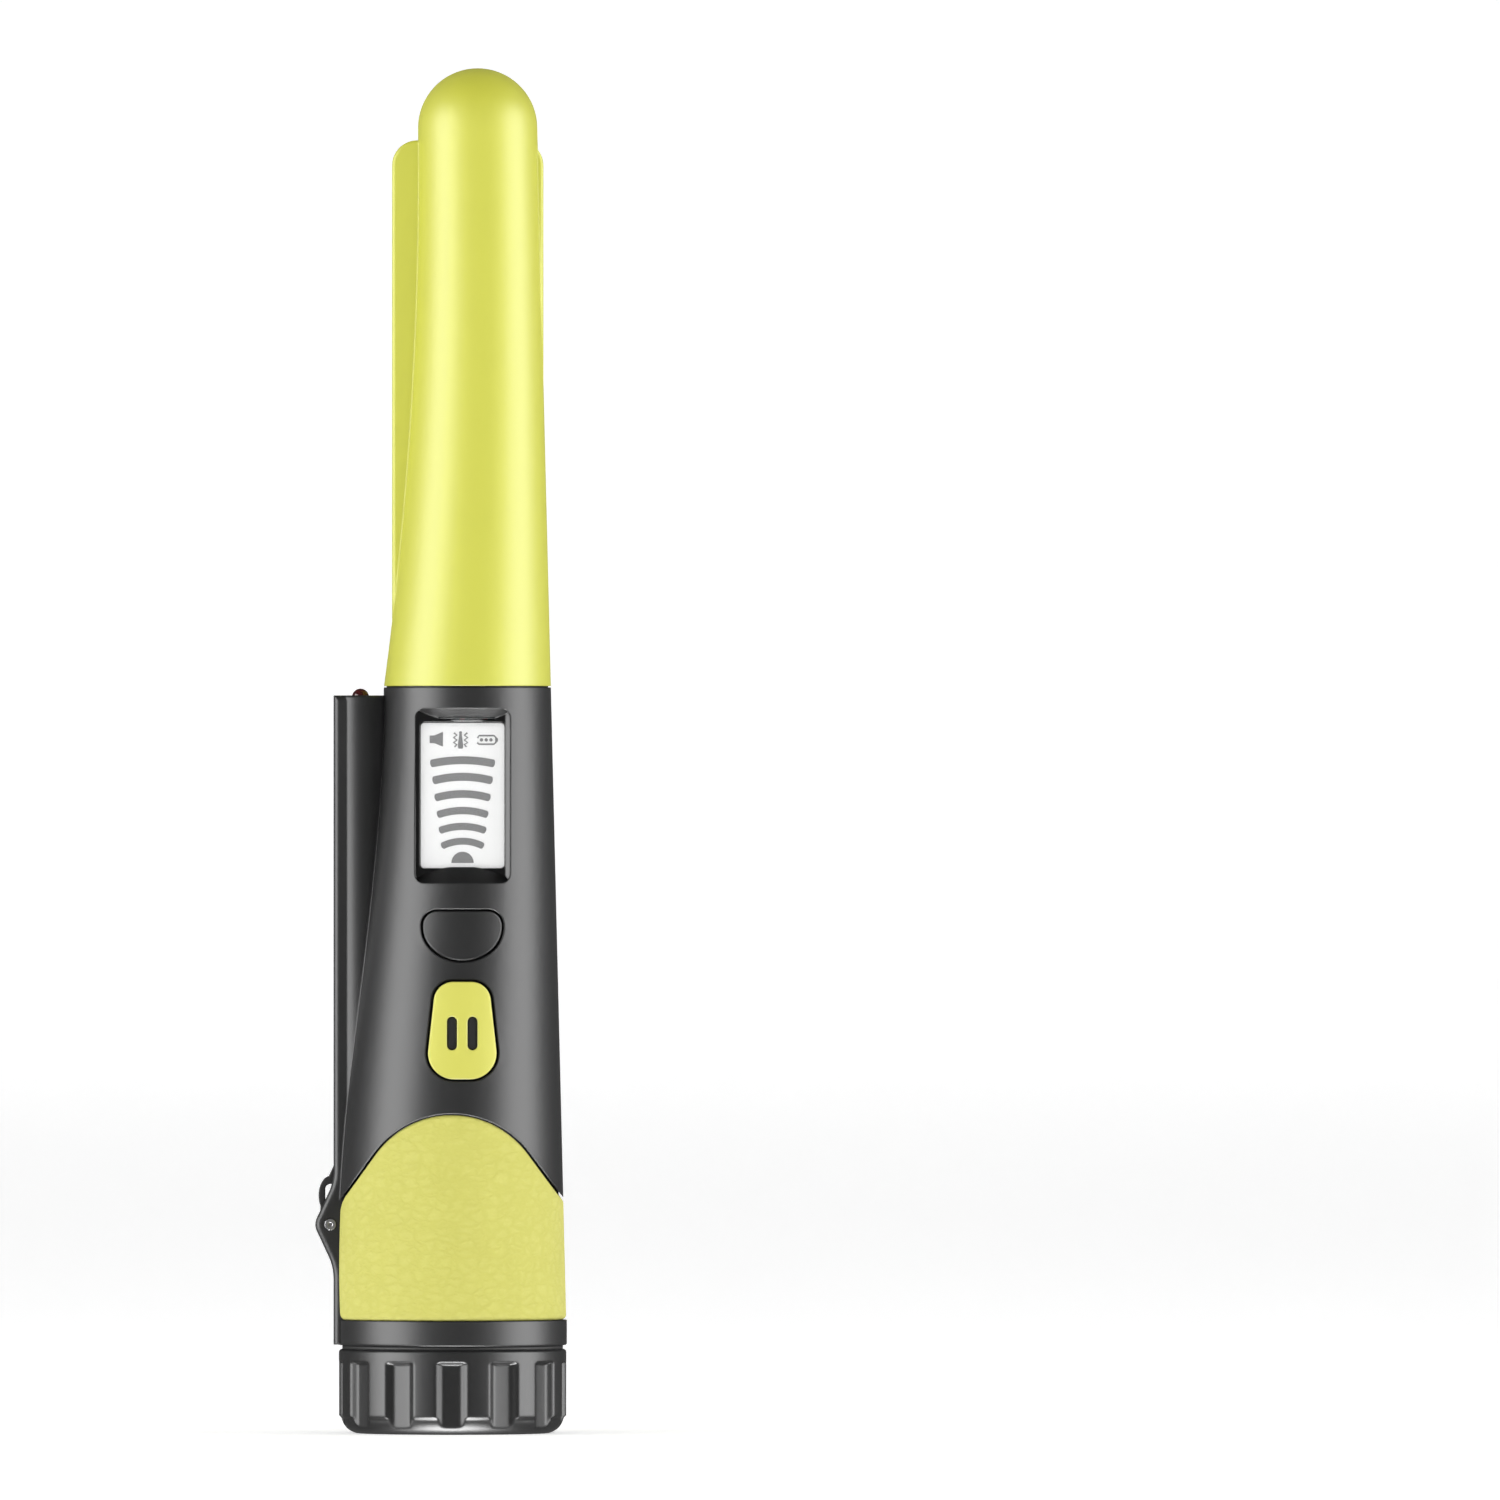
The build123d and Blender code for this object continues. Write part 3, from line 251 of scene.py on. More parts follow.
def handle_middle(z):
    """X of the handle's axis: the straight right-hand side less the radius."""
    return SPINE_X - SPINE_SLOPE * (z - SPINE_LOW) - handle_radius(z)


BLACK = (0.0115, 0.0115, 0.0118, 1)
BLACK_DUST_AND_HIGHLIGHT = (0.0150, 0.0150, 0.0154, 1)
BLACK_GLOSS_SHADED = (0.0025, 0.0025, 0.0026, 1)
# The recess's gloss and its painted shade both fade out over RECESS_BLUR past the recess.
RECESS_BLUR = 0.0002  # the gloss fades out over this width past the recess


def satin_black(finish, edge=0.0004, roughness=0.40, depth=0.000012):
    """Sockets of the satin black plastic: an even fine skin, faint dust, and edges polished by the hand and
    painted paler as a highlight.
    """
    fine = finish.noise(0.00017, 2.0, 0.6)
    cloud = finish.noise(0.016, 4.0)
    wear_and_highlight = finish.edge_mask(edge)
    return {
        # Painted highlight: the edges are paler, mixed in with the faint dust of the clouds.
        "Base_Color": finish.blend(cloud + 0.6 * wear_and_highlight, BLACK, BLACK_DUST_AND_HIGHLIGHT),
        "Roughness": roughness - 0.02 + 0.05 * fine + 0.03 * cloud - 0.06 * wear_and_highlight,
        "Normal": finish.bump(fine, depth, finish.soft_edges(edge)),
    }


def front_shell_black():
    """Satin black, with the walls of the display's recess glossier and painted darker, as painted shade.

    The recess is the part of the front inside the mouth's rectangle and under the handle's round."""
    finish = Finish("front_shell_black")
    sockets = satin_black(finish)
    x, y, z = finish.axis("X"), finish.axis("Y"), finish.axis("Z")
    low, high = MOUTH_MIDDLE[1] - MOUTH_SIZE[1] / 2, MOUTH_MIDDLE[1] + MOUTH_SIZE[1] / 2
    rise = float((handle_radius(high) - handle_radius(low)) / (high - low))
    radius = float(handle_radius(low)) + rise * (z - low)
    across = x - (SPINE_X - SPINE_SLOPE * (z - SPINE_LOW) - radius)
    depth = radius - (across * across + y * y) ** 0.5
    wide, tall = MOUTH_SIZE[0] / 2, MOUTH_SIZE[1] / 2
    inside = finish.step(abs(x - MOUTH_MIDDLE[0]), wide + RECESS_BLUR, wide)
    inside = inside * finish.step(abs(z - MOUTH_MIDDLE[1]), tall + RECESS_BLUR, tall)
    recess = inside * finish.step(depth, 0.4 * RECESS_BLUR, RECESS_BLUR)
    # Painted shade: the recess walls are darkened to near black, on top of their real gloss.
    sockets["Base_Color"] = finish.blend(recess, sockets["Base_Color"], BLACK_GLOSS_SHADED)
    sockets["Roughness"] = sockets["Roughness"] - 0.12 * recess
    return finish.surface(**sockets)


shell_black = Finish("shell_black")
shell_black_material = shell_black.surface(**satin_black(shell_black))
cover(front_shell_black(), "front_shell")
cover(shell_black_material, "rear_shell", "neck_plug")
seal_rubber = plain_part("seal_rubber", (0.013, 0.013, 0.013, 1), (0.02, 0.02, 0.02, 1), 0.55, 0.0004)
cover(seal_rubber, "shell_gasket", "neck_oring")


def turned_steel(name, colour, roughness):
    """Bright steel with fine turning lines and a little tarnish."""
    finish = Finish(name)
    lines = finish.noise(0.00011, 2.0, 0.5, finish.stretched(1, 1, 6))
    stain = finish.noise(0.002, 4.0)
    dull = tuple(0.78 * c for c in colour[:3]) + (1,)
    return finish.surface(
        Base_Color=finish.blend(stain, colour, dull),
        Metallic=1.0,
        Roughness=roughness + 0.12 * lines,
        Normal=finish.bump(lines, 0.000005, finish.soft_edges(0.00012)),
    )


steel = turned_steel("bright_steel", (0.56, 0.56, 0.57, 1), 0.28)
cover(steel, "shell_screws", "board_screws")

# ---------------------------------------------------------------- grip
# A sleeve of soft yellow rubber, grained like leather and bonded into a shallow bed round the lower
# handle. It is open along the keel, rises to a round-topped arch at the front and the back, and its
# edges are rolled.

GRIP_LOW = 0.01996
GRIP_APEX = 0.05618
GRIP_GUESS = 0.03  # the height from which the search for the arch over each angle starts
GRIP_ARCH_RADIUS = 0.0170
GRIP_ARCH_SLOPE = np.radians(54)
GRIP_RADIUS = 0.0198  # mean radius, which turns an angle into a distance round the sleeve
GRIP_KEEL_GAP = 0.00432
GRIP_SHOULDER_DROP = 0.0022  # the arch comes down by this much at the keel, in a quarter round
GRIP_SHOULDER_REACH = 0.0028
GRIP_ROLL = 0.0009
GRIP_SINK = 0.000002
GRIP_DEEP = 0.00122
GRIP_CORNER = 0.0014
GRIP_DENSE = 0.0016  # the grid is finest over this distance from an edge
GRIP_AROUND = 0.118
GRIP_TALL = 0.026


def spread(count, reach, span):
    """Places from 0 to 1 that crowd at both ends of a span: even steps over the first and last reach."""
    near = reach / span * (1 - np.cos(np.linspace(0, np.pi / 2, count // 4)))
    middle = np.linspace(near[-1], 1 - near[-1], count - 2 * (count // 4) + 2)
    return np.concatenate([near, middle[1:-1], 1 - near[::-1]])


def arch_height(x):
    """Top of the sleeve over x: a circle at the crown, and below it the straight lines that touch it."""
    side = np.abs(x)
    straight = GRIP_APEX - GRIP_ARCH_RADIUS + GRIP_ARCH_RADIUS / np.cos(GRIP_ARCH_SLOPE)
    straight = straight - side * np.tan(GRIP_ARCH_SLOPE)
    reach = np.minimum(side, GRIP_ARCH_RADIUS * 0.999)
    crown = GRIP_APEX - GRIP_ARCH_RADIUS + np.sqrt(GRIP_ARCH_RADIUS**2 - reach**2)
    return np.where(side < GRIP_ARCH_RADIUS * np.sin(GRIP_ARCH_SLOPE), crown, straight)


def skin(name, sheets):
    """Mesh of grids (rows, columns, 3) that share their outer edges when they are merged."""
    mesh = bpy.data.meshes.new(name)
    points, faces, start = [], [], 0
    for sheet in sheets:
        rows, columns = sheet.shape[:2]
        ids = start + np.arange(rows * columns).reshape(rows, columns)
        corners = [ids[:-1, :-1], ids[:-1, 1:], ids[1:, 1:], ids[1:, :-1]]
        faces.append(np.stack(corners, axis=-1).reshape(-1, 4))
        points.append(sheet.reshape(-1, 3))
        start += rows * columns
    points, faces = np.concatenate(points), np.concatenate(faces)
    mesh.vertices.add(len(points))
    mesh.vertices.foreach_set("co", points.ravel())
    mesh.loops.add(faces.size)
    mesh.loops.foreach_set("vertex_index", faces.ravel())
    mesh.polygons.add(len(faces))
    mesh.polygons.foreach_set("loop_start", np.arange(len(faces)) * 4)
    mesh.update(calc_edges=True)
    return mesh


def piece(name, mesh, material, smooth=True):
    """Merges a mesh's seams and poles, points its faces outwards, and puts it in the scene in one finish."""
    work = bmesh.new()
    work.from_mesh(mesh)
    bmesh.ops.remove_doubles(work, verts=work.verts, dist=3e-7)
    bmesh.ops.dissolve_degenerate(work, edges=work.edges, dist=1e-8)
    bmesh.ops.recalc_face_normals(work, faces=work.faces)
    work.to_mesh(mesh)
    work.free()
    if smooth:
        mesh.shade_smooth()
    made = bpy.data.objects.new(name, mesh)
    bpy.context.scene.collection.objects.link(made)
    mesh.materials.append(material)
    return made


def grip_skin(rows=104, columns=260):
    """The sleeve as a grid of angle and height.

    The angle runs from one side of the keel round the front to the other, the height from the lower edge
    to the arch. Near an edge the surface drops by a quarter round, and the two corners at the keel's foot
    are pulled onto a small circle. A second grid is the bonded back, and the two share their rim."""
    open_angle = np.arcsin(GRIP_KEEL_GAP / GRIP_RADIUS)
    around = 2 * (np.pi - open_angle)
    along = spread(columns, GRIP_DENSE, GRIP_AROUND)[None, :] * np.ones((rows, 1))
    angle = -np.pi + open_angle + along * around
    guess = GRIP_GUESS
    for _ in range(3):
        x = handle_middle(guess) + handle_radius(guess) * np.cos(angle)
        top = arch_height(x)
        guess = np.maximum(top, GRIP_LOW)
    end = np.minimum(along, 1 - along) * around * GRIP_RADIUS
    short = 1 - np.clip(end / GRIP_SHOULDER_REACH, 0, 1)
    top = top - GRIP_SHOULDER_DROP * (1 - np.sqrt(1 - short**2))
    up = spread(rows, GRIP_DENSE, GRIP_TALL)[:, None]
    z = GRIP_LOW + up * (top - GRIP_LOW)
    lean = np.gradient(top, axis=1) / np.maximum(np.gradient(angle, axis=1) * GRIP_RADIUS, 1e-6)
    under = (top - z) / np.sqrt(1 + lean**2)
    over = z - GRIP_LOW
    a, b = np.maximum(GRIP_CORNER - end, 0), np.maximum(GRIP_CORNER - over, 0)
    reach = np.hypot(a, b)
    pull = np.where(reach > GRIP_CORNER, GRIP_CORNER / np.maximum(reach, 1e-9), 1.0)
    z = np.where(pull < 1, GRIP_LOW + GRIP_CORNER - b * pull, z)
    shift = (a - a * pull) / GRIP_RADIUS * np.where(along < 0.5, 1, -1)
    angle = np.where(pull < 1, angle + shift, angle)
    inside = np.minimum(np.minimum(end, over), under)
    inside = np.where((a > 0) & (b > 0), GRIP_CORNER - np.minimum(reach, GRIP_CORNER), inside)
    roll = np.clip(GRIP_ROLL - inside, 0, GRIP_ROLL)
    drop = GRIP_ROLL - np.sqrt(np.maximum(GRIP_ROLL**2 - roll**2, 0))

    def sheet(depth):
        radius = handle_radius(z) - GRIP_SINK - depth
        return np.stack([handle_middle(z) + radius * np.cos(angle), radius * np.sin(angle), z], axis=-1)

    face, back = sheet(drop), sheet(np.full_like(drop, GRIP_DEEP))
    rims = [(face[0], back[0]), (face[-1], back[-1]), (face[:, 0], back[:, 0]), (face[:, -1], back[:, -1])]
    return skin("grip", [face, back] + [np.stack(rim) for rim in rims])


def leather_rubber():
    """Soft rubber with a leather grain: creased cells of two sizes, bent by a slow drift, and pores. The
    colour is clouded, and painted darker in the creases and pores as painted shade.
    """
    finish = Finish("leather_rubber")
    clouds = {"Vector": finish.place, "Scale": 380.0, "Detail": 3.0}
    drift = finish.node("ShaderNodeTexNoise", {}, clouds, "Color")
    drift = finish.node("ShaderNodeVectorMath", {"operation": "SCALE"}, {0: drift, "Scale": 0.0012})
    sockets = {0: finish.stretched(0.8, 0.8, 1.25), 1: drift}
    bent = finish.node("ShaderNodeVectorMath", {"operation": "ADD"}, sockets)
    large = finish.step(finish.cells(0.0021, bent), 0.0, 0.34)
    small = finish.step(finish.cells(0.0009, bent), 0.0, 0.40)
    pores = finish.noise(0.00028, 3.0)
    height = 0.56 * large + 0.30 * small + 0.14 * pores
    cloud = finish.noise(0.0045, 3.0, 0.6)
    # Painted shade: half the tone follows the grain's height, so the colour is darker down in the creases and
    # pores.
    tone = 0.5 * height + 0.5 * cloud
    return finish.surface(
        Base_Color=finish.blend(tone, (0.525, 0.506, 0.104, 1), (0.618, 0.600, 0.150, 1)),
        Roughness=0.86 - 0.08 * large,
        Specular_IOR_Level=0.25,
        Normal=finish.bump(height, 0.00011),
    )


grip = piece("grip", grip_skin(), leather_rubber())
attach(grip, "housing")
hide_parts("grip_sleeve")

# ---------------------------------------------------------------- battery tube
# The collar under the grip is the foot of a black tube that holds the battery. Its socket has a coarse
# internal thread of one start, cut to the same pitch as the cap's.

PITCH = 0.003

cover(shell_black_material, "battery_tube")


def helix_ridge(low, high, radius, reach, width, steps=64):
    """A closed ridge along a helix: a round-topped profile carried up the turns, fading in and out.

    reach is how far it stands from the wall, towards the axis if it is negative. The turns run half a
    pitch off the cap's, so that its ridge lies between them."""
    turns = (high - low) / PITCH
    t = np.linspace(0, 1, int(turns * steps))[:, None]
    around = np.linspace(0, np.pi, 9)[None, :]
    fade = np.clip(np.minimum(t, 1 - t) * turns * 3, 0, 1) ** 0.5
    angle = 2 * np.pi * (turns * t + low / PITCH - 0.5) + 0 * around
    out = radius + reach * fade * np.sin(around)
    z = low + (high - low) * t - width / 2 * fade * np.cos(around)
    face = np.stack([out * np.cos(angle), out * np.sin(angle), z], axis=-1)
    wall = np.stack([face[:, 0], face[:, -1]], axis=1)
    return [face, wall]


socket_thread = piece(
    "socket_thread",
    skin("socket_thread", helix_ridge(low=0.0205, high=0.0262, radius=0.01764, reach=-0.0005, width=0.0012)),
    shell_black_material,
)
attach(socket_thread, "housing")

# ---------------------------------------------------------------- screw cap
# The cap is moulded in the same black nylon, with thirteen finger pockets that run out through its
# bulged lower corner. Its neck has an O-ring and a coarse thread, and it is hollow for the battery's end.

CAP_RADIUS = 0.020
CAP_BORE = 0.0155  # the pockets are cut only outside this radius, and below the shoulder
CAP_SHOULDER = 0.0147
POCKETS = 13
POCKET_HALF = 0.00279
POCKET_TOP = 0.0128
POCKET_FLOOR = 0.01885
POCKET_STEEP = 1.055
POCKET_TOP_STEEP = 1.9  # the upper end is steeper than the sides by this much
POCKET_CORNER = 0.0011
POCKET_FLOOR_BLUR = 0.00022
POCKET_EDGE_BLUR = 0.00016
NECK_RADIUS = 0.01695
THREAD_LOW = 0.0182
THREAD_HIGH = 0.0262
THREAD_FADE = 0.0012
THREAD_HEIGHT = 0.00052


def softer_min(first, second, blur):
    """The smaller of two arrays, with the corner between them rounded."""
    return 0.5 * (first + second - np.sqrt((first - second) ** 2 + blur**2))


def cap_outline():
    """Radius and height down the cap's section: foot, bulged corner, wall, shoulder, neck, bore, floor.

    The numbers are millimetres. The corner is a parabola through the middle point between its ends."""
    t = np.linspace(0, 1, 15)[:, None]
    start, middle, end = np.array([[16.9, 0.0], [18.625, 0.925], [19.55, 2.65]])
    pull = 2 * middle - (start + end) / 2
    corner = (1 - t) ** 2 * start + 2 * t * (1 - t) * pull + t**2 * end
    wall = [np.linspace(3.1, 11.2, 17), np.linspace(11.35, 13.3, 18), np.linspace(13.5, 14.2, 4)]
    wall = np.concatenate(wall)
    turn = np.linspace(0.15, np.pi / 2, 7)
    shoulder = np.stack([19.4 + 0.6 * np.cos(turn), 14.2 + 0.6 * np.sin(turn)], axis=-1)
    neck = np.linspace(14.8, 26.4, 56)
    return 0.001 * np.concatenate([
        [[0, 0], [8, 0], [13, 0], [16, 0], [16.6, 0]],
        corner,
        [[19.62, 2.72], [19.93, 3.03]],
        np.stack([np.full(len(wall), 20.0), wall], axis=-1),
        shoulder,
        [[18.6, 14.8], [17.2, 14.8]],
        np.stack([np.full(len(neck), 16.95), neck], axis=-1),
        [[16.75, 26.8], [16.35, 27.0], [15.75, 27.0], [15.6, 26.8]],
        [[15.6, 15], [15.6, 3.2], [15.4, 3.0], [8, 3], [0, 3]],
    ])


def cap_skin(columns=POCKETS * 38):
    """The section turned about Z, with the pockets sunk in and the thread raised.

    A pocket is the smaller of the wall's radius and a tray: sloped sides inside a round-cornered outline
    down to a flat floor. The thread's height is a trimmed cosine of height less turn."""
    outline = cap_outline()
    radius, z = outline[:, :1], outline[:, 1:]
    angle = np.linspace(0, 2 * np.pi, columns + 1)[None, :]
    pitch = 2 * np.pi / POCKETS
    off = (angle + np.pi / 2 + pitch / 2) % pitch - pitch / 2
    qx = np.abs(CAP_RADIUS * np.sin(off)) - (POCKET_HALF - POCKET_CORNER)
    qz = POCKET_TOP_STEEP * (z - POCKET_TOP) + POCKET_CORNER
    outside = np.hypot(np.maximum(qx, 0), np.maximum(qz, 0)) + np.minimum(np.maximum(qx, qz), 0)
    side = CAP_RADIUS + POCKET_STEEP * (outside - POCKET_CORNER)
    floor = POCKET_FLOOR / np.cos(off)
    tray = -softer_min(-side, -floor, POCKET_FLOOR_BLUR)
    outer = (radius > CAP_BORE) & (z < CAP_SHOULDER)
    sunk = np.where(outer, softer_min(radius, tray, POCKET_EDGE_BLUR), radius)
    turn = np.cos(2 * np.pi * (z / PITCH) - angle)
    fade = np.clip((z - THREAD_LOW) / THREAD_FADE, 0, 1) * np.clip((THREAD_HIGH - z) / THREAD_FADE, 0, 1)
    ridge = THREAD_HEIGHT * np.clip(1.7 * turn - 0.35, 0, 1) * fade
    sunk = np.where(np.isclose(radius, NECK_RADIUS) & (z > CAP_SHOULDER), radius + ridge, sunk)
    height = np.broadcast_to(z, sunk.shape)
    return skin("cap", [np.stack([sunk * np.cos(angle), sunk * np.sin(angle), height], axis=-1)])


cap_black = Finish("cap_black")
cap_black_material = cap_black.surface(**satin_black(cap_black, 0.0002, 0.36))
cap = piece("cap", cap_skin(), cap_black_material)
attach(cap, "cap")
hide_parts("end_cap")
cover(seal_rubber, "cap_oring")

# A thin rubber lip glued on the cap's rim shuts out dust and darkens the joint under the collar.
SEAL_INNER, SEAL_OUTER = 0.0186, 0.0194
SEAL_LOW, SEAL_HIGH = 0.01482, 0.01548


def seal_lip():
    """The lip's four-sided outline (radius, height) turned about Z."""
    turn = np.linspace(0, 2 * np.pi, 145)[None, :]
    out = np.array([SEAL_INNER, SEAL_INNER, SEAL_OUTER, SEAL_OUTER, SEAL_INNER])[:, None]
    up = np.array([SEAL_LOW, SEAL_HIGH, SEAL_HIGH, SEAL_LOW, SEAL_LOW])[:, None]
    return skin("cap_seal", [np.stack([out * np.cos(turn), out * np.sin(turn), up + 0 * turn], axis=-1)])


cap_seal = piece("cap_seal", seal_lip(), seal_rubber, smooth=False)
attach(cap_seal, "cap")
cover(plain_part("foam", (0.17, 0.17, 0.18, 1), (0.12, 0.12, 0.13, 1), 0.8, 0.0006, 0.00012), "pressure_pad")

# ---------------------------------------------------------------- battery and its contacts
# A snap-stud block battery in a printed metal jacket, pressed onto nickel-plated contacts that are
# riveted to a small board in the top of the tube.

JACKET_BAND = 0.034


def battery_jacket():
    """Lacquered steel jacket: dark below, with a bronze band round its upper part."""
    finish = Finish("battery_jacket")
    band = finish.step(finish.axis("Z"), JACKET_BAND, JACKET_BAND + 0.0002)
    scratch = finish.noise(0.0006, 5.0, 0.7, finish.stretched(1, 1, 0.15))
    return finish.surface(
        Base_Color=finish.blend(band, (0.015, 0.017, 0.022, 1), (0.32, 0.17, 0.06, 1)),
        Metallic=0.55,
        Roughness=0.26 + 0.12 * scratch,
        Normal=finish.soft_edges(0.0005),
    )


cover(battery_jacket(), "battery_case")
nickel = turned_steel("nickel_plate", (0.70, 0.67, 0.62, 1), 0.2)
cover(nickel, "battery_terminals", "battery_contacts")

# ---------------------------------------------------------------- keys
# The mode key is dark silicone rubber, flush with the shell. The power key is a hard yellow cap with two
# slots, over a silicone core that shows through them. Each presses a switch on the board.

key_rubber = Finish("key_rubber")
key_fine = key_rubber.noise(0.0003, 2.0)
key_cloud = key_rubber.noise(0.006, 4.0)
key_rubber_material = key_rubber.surface(
    Base_Color=key_rubber.blend(key_cloud, (0.0125, 0.0125, 0.0128, 1), (0.0165, 0.0165, 0.0168, 1)),
    Roughness=0.37 + 0.06 * key_fine,
    Normal=key_rubber.bump(key_fine, 0.000008, key_rubber.soft_edges(0.00045)),
)
cover(key_rubber_material, "mode_key", "power_key_core", "mode_plunger", "power_plunger")
cover(satin_yellow("key_yellow", (0.625, 0.61, 0.085, 1), 0.0006), "power_key_cap")

# ---------------------------------------------------------------- display
# A reflective liquid-crystal display with printed segments, laid in the well at the bottom of the recess
# under a clear window. A strip of striped rubber joins it to the board.

DISPLAY_X = 0.00185
DISPLAY_Z = 0.1123
FACE_SPAN = 0.005  # the face's lean is taken over this distance up and down from the middle
FACE_FALL = handle_radius(DISPLAY_Z - FACE_SPAN) - handle_radius(DISPLAY_Z + FACE_SPAN)
FACE_LEAN = float(np.arctan(FACE_FALL / (2 * FACE_SPAN)))
FACE_CREST = float(-np.sqrt(handle_radius(DISPLAY_Z) ** 2 - (DISPLAY_X - handle_middle(DISPLAY_Z)) ** 2))
SEGMENT_DEPTH = (0.00372, 0.00378)


def on_display(flat, depth):
    """Points of the display's plane: across and up from its middle, at a depth under the crest."""
    across, up = flat[:, 0] * 0.001, flat[:, 1] * 0.001
    y = FACE_CREST + depth * np.cos(FACE_LEAN) + up * np.sin(FACE_LEAN)
    z = DISPLAY_Z + up * np.cos(FACE_LEAN) - depth * np.sin(FACE_LEAN)
    return np.stack([DISPLAY_X + across, y, z], axis=-1)


def rounded(points, radius, steps=5):
    """An outline with each corner cut back by radius and bent through the corner as a parabola."""
    points = np.asarray(points, dtype=float)
    ends = []
    for neighbour in (1, -1):
        run = np.roll(points, neighbour, axis=0) - points
        length = np.maximum(np.linalg.norm(run, axis=1), 2.01 * radius)
        ends.append(points + run * (radius / length)[:, None])
    t = np.linspace(0, 1, steps)[None, :, None]
    bent = (1 - t) ** 2 * ends[0][:, None] + 2 * t * (1 - t) * points[:, None] + t**2 * ends[1][:, None]
    return bent.reshape(-1, 2)


def stroke(points, width):
    """An open line as an outline: the points pushed to one side and back along the other, mitred."""
    points = np.asarray(points, dtype=float)
    run = np.gradient(points, axis=0)
    run /= np.linalg.norm(run, axis=1)[:, None]
    side = np.stack([-run[:, 1], run[:, 0]], axis=-1) * width / 2
    return np.concatenate([points + side, (points - side)[::-1]])


def arc_bar(half, top, thick, radius):
    """A bar bent to a circle: its top edge peaks at top, and each end is half of a flat ellipse."""
    reach = np.arcsin((half - 0.25 * thick) / radius)
    turn = np.linspace(-reach, reach, 21)
    outer = np.stack([radius * np.sin(turn), top - radius + radius * np.cos(turn)], axis=-1)
    inner = outer - thick * np.stack([np.sin(turn), np.cos(turn)], axis=-1)
    swing = np.linspace(0, np.pi, 9)[1:-1, None]
    ends = []
    for near, far in ((outer[-1], inner[-1]), (inner[0], outer[0])):
        across = (near - far) / 2
        along = 0.55 * np.array([across[1], -across[0]])
        ends.append((near + far) / 2 + across * np.cos(swing) + along * np.sin(swing))
    return np.concatenate([outer, ends[0], inner[::-1], ends[1]])


def plates(name, outlines, depths):
    """Thin closed plates with the given outlines, between two depths under the display's crest."""
    work = bmesh.new()
    for outline in outlines:
        front = [work.verts.new(p) for p in on_display(np.asarray(outline), depths[0])]
        back = [work.verts.new(p) for p in on_display(np.asarray(outline), depths[1])]
        work.faces.new(front)
        work.faces.new(back[::-1])
        for i in range(len(front)):
            j = (i + 1) % len(front)
            work.faces.new((front[i], back[i], back[j], front[j]))
    mesh = bpy.data.meshes.new(name)
    work.to_mesh(mesh)
    work.free()
    return mesh


# Each bar: half its width, the height of its top, its thickness and its radius, in millimetres.
ARCS = [
    (5.80, 6.90, 1.38, 26.2),
    (5.43, 3.99, 1.40, 20.6),
    (5.06, 0.95, 1.34, 17.3),
    (4.67, -2.00, 1.28, 13.8),
    (4.32, -4.80, 1.25, 11.8),
    (3.98, -7.42, 1.20, 8.4),
]
half_turn = np.linspace(0, np.pi, 19)
dot_turn = np.linspace(0, 2 * np.pi, 13)[:-1]
loudspeaker = [(-5.78, 10.55), (-4.95, 10.55), (-3.45, 11.2), (-3.45, 8.6), (-4.95, 9.2), (-5.78, 9.2)]
rod = [(-0.60, 11.3), (-0.12, 11.3), (-0.14, 10.7), (0.10, 8.9)]
rod += [(0.06, 8.25), (-0.78, 8.25), (-0.82, 8.9), (-0.58, 10.7)]
zigzag = [(-1.53, 11.0), (-1.0, 10.62), (-1.58, 10.18), (-1.0, 9.75)]
zigzag += [(-1.58, 9.3), (-1.0, 8.95), (-1.4, 8.55)]
cell_case = [(2.62, 10.1), (2.9, 10.53), (5.5, 10.53), (5.85, 10.2)]
cell_case += [(5.85, 9.35), (5.5, 9.02), (2.9, 9.02), (2.55, 9.3)]
cell_stud = [(5.98, 10.1), (6.2, 10.1), (6.2, 9.45), (5.98, 9.45)]
outlines = [arc_bar(*bar) for bar in ARCS]
outlines.append(np.stack([1.97 * np.cos(half_turn), -11.85 + 1.97 * np.sin(half_turn)], axis=-1))
outlines.append(rounded(loudspeaker, 0.12))
outlines.append(rounded(rod, 0.2))
outlines.append(stroke(zigzag, 0.27))
outlines.append(stroke(np.array(zigzag) * (-1, 1) + (-0.70, 0), 0.27))
outlines.append(stroke(cell_case, 0.28))
outlines.append(rounded(cell_stud, 0.08))
for dot_x in (3.32, 4.15, 4.98):
    outlines.append(np.stack([dot_x + 0.3 * np.cos(dot_turn), 9.78 + 0.3 * np.sin(dot_turn)], axis=-1))
segment_ink = plain_part(
    "segment_ink",
    (0.135, 0.135, 0.138, 1),
    (0.16, 0.16, 0.16, 1),
    0.5,
    grain=0.0002,
    depth=0.000002,
    edge=0.00002,
)
segment_plates = plates("display_segments", outlines, SEGMENT_DEPTH)
segments = piece("display_segments", segment_plates, segment_ink, smooth=False)
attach(segments, "housing")


def reflective_panel():
    """Pale polarised glass over a brushed reflector: nearly white, with a very faint weave and a faint
    painted glow, though nothing lights it from behind.
    """
    finish = Finish("reflective_panel")
    weave = finish.noise(0.00012, 1.0, 0.5, finish.stretched(1, 1, 0.2))
    cloud = finish.noise(0.006, 2.0)
    tone = 0.5 * weave + 0.5 * cloud
    return finish.surface(
        Base_Color=finish.blend(tone, (0.83, 0.835, 0.83, 1), (0.89, 0.89, 0.885, 1)),
        Roughness=0.45,
        # Painted light: a faint glow that brightens the panel, which has no lamp behind it.
        Emission_Color=(1, 1, 1, 1),
        Emission_Strength=0.06,
    )


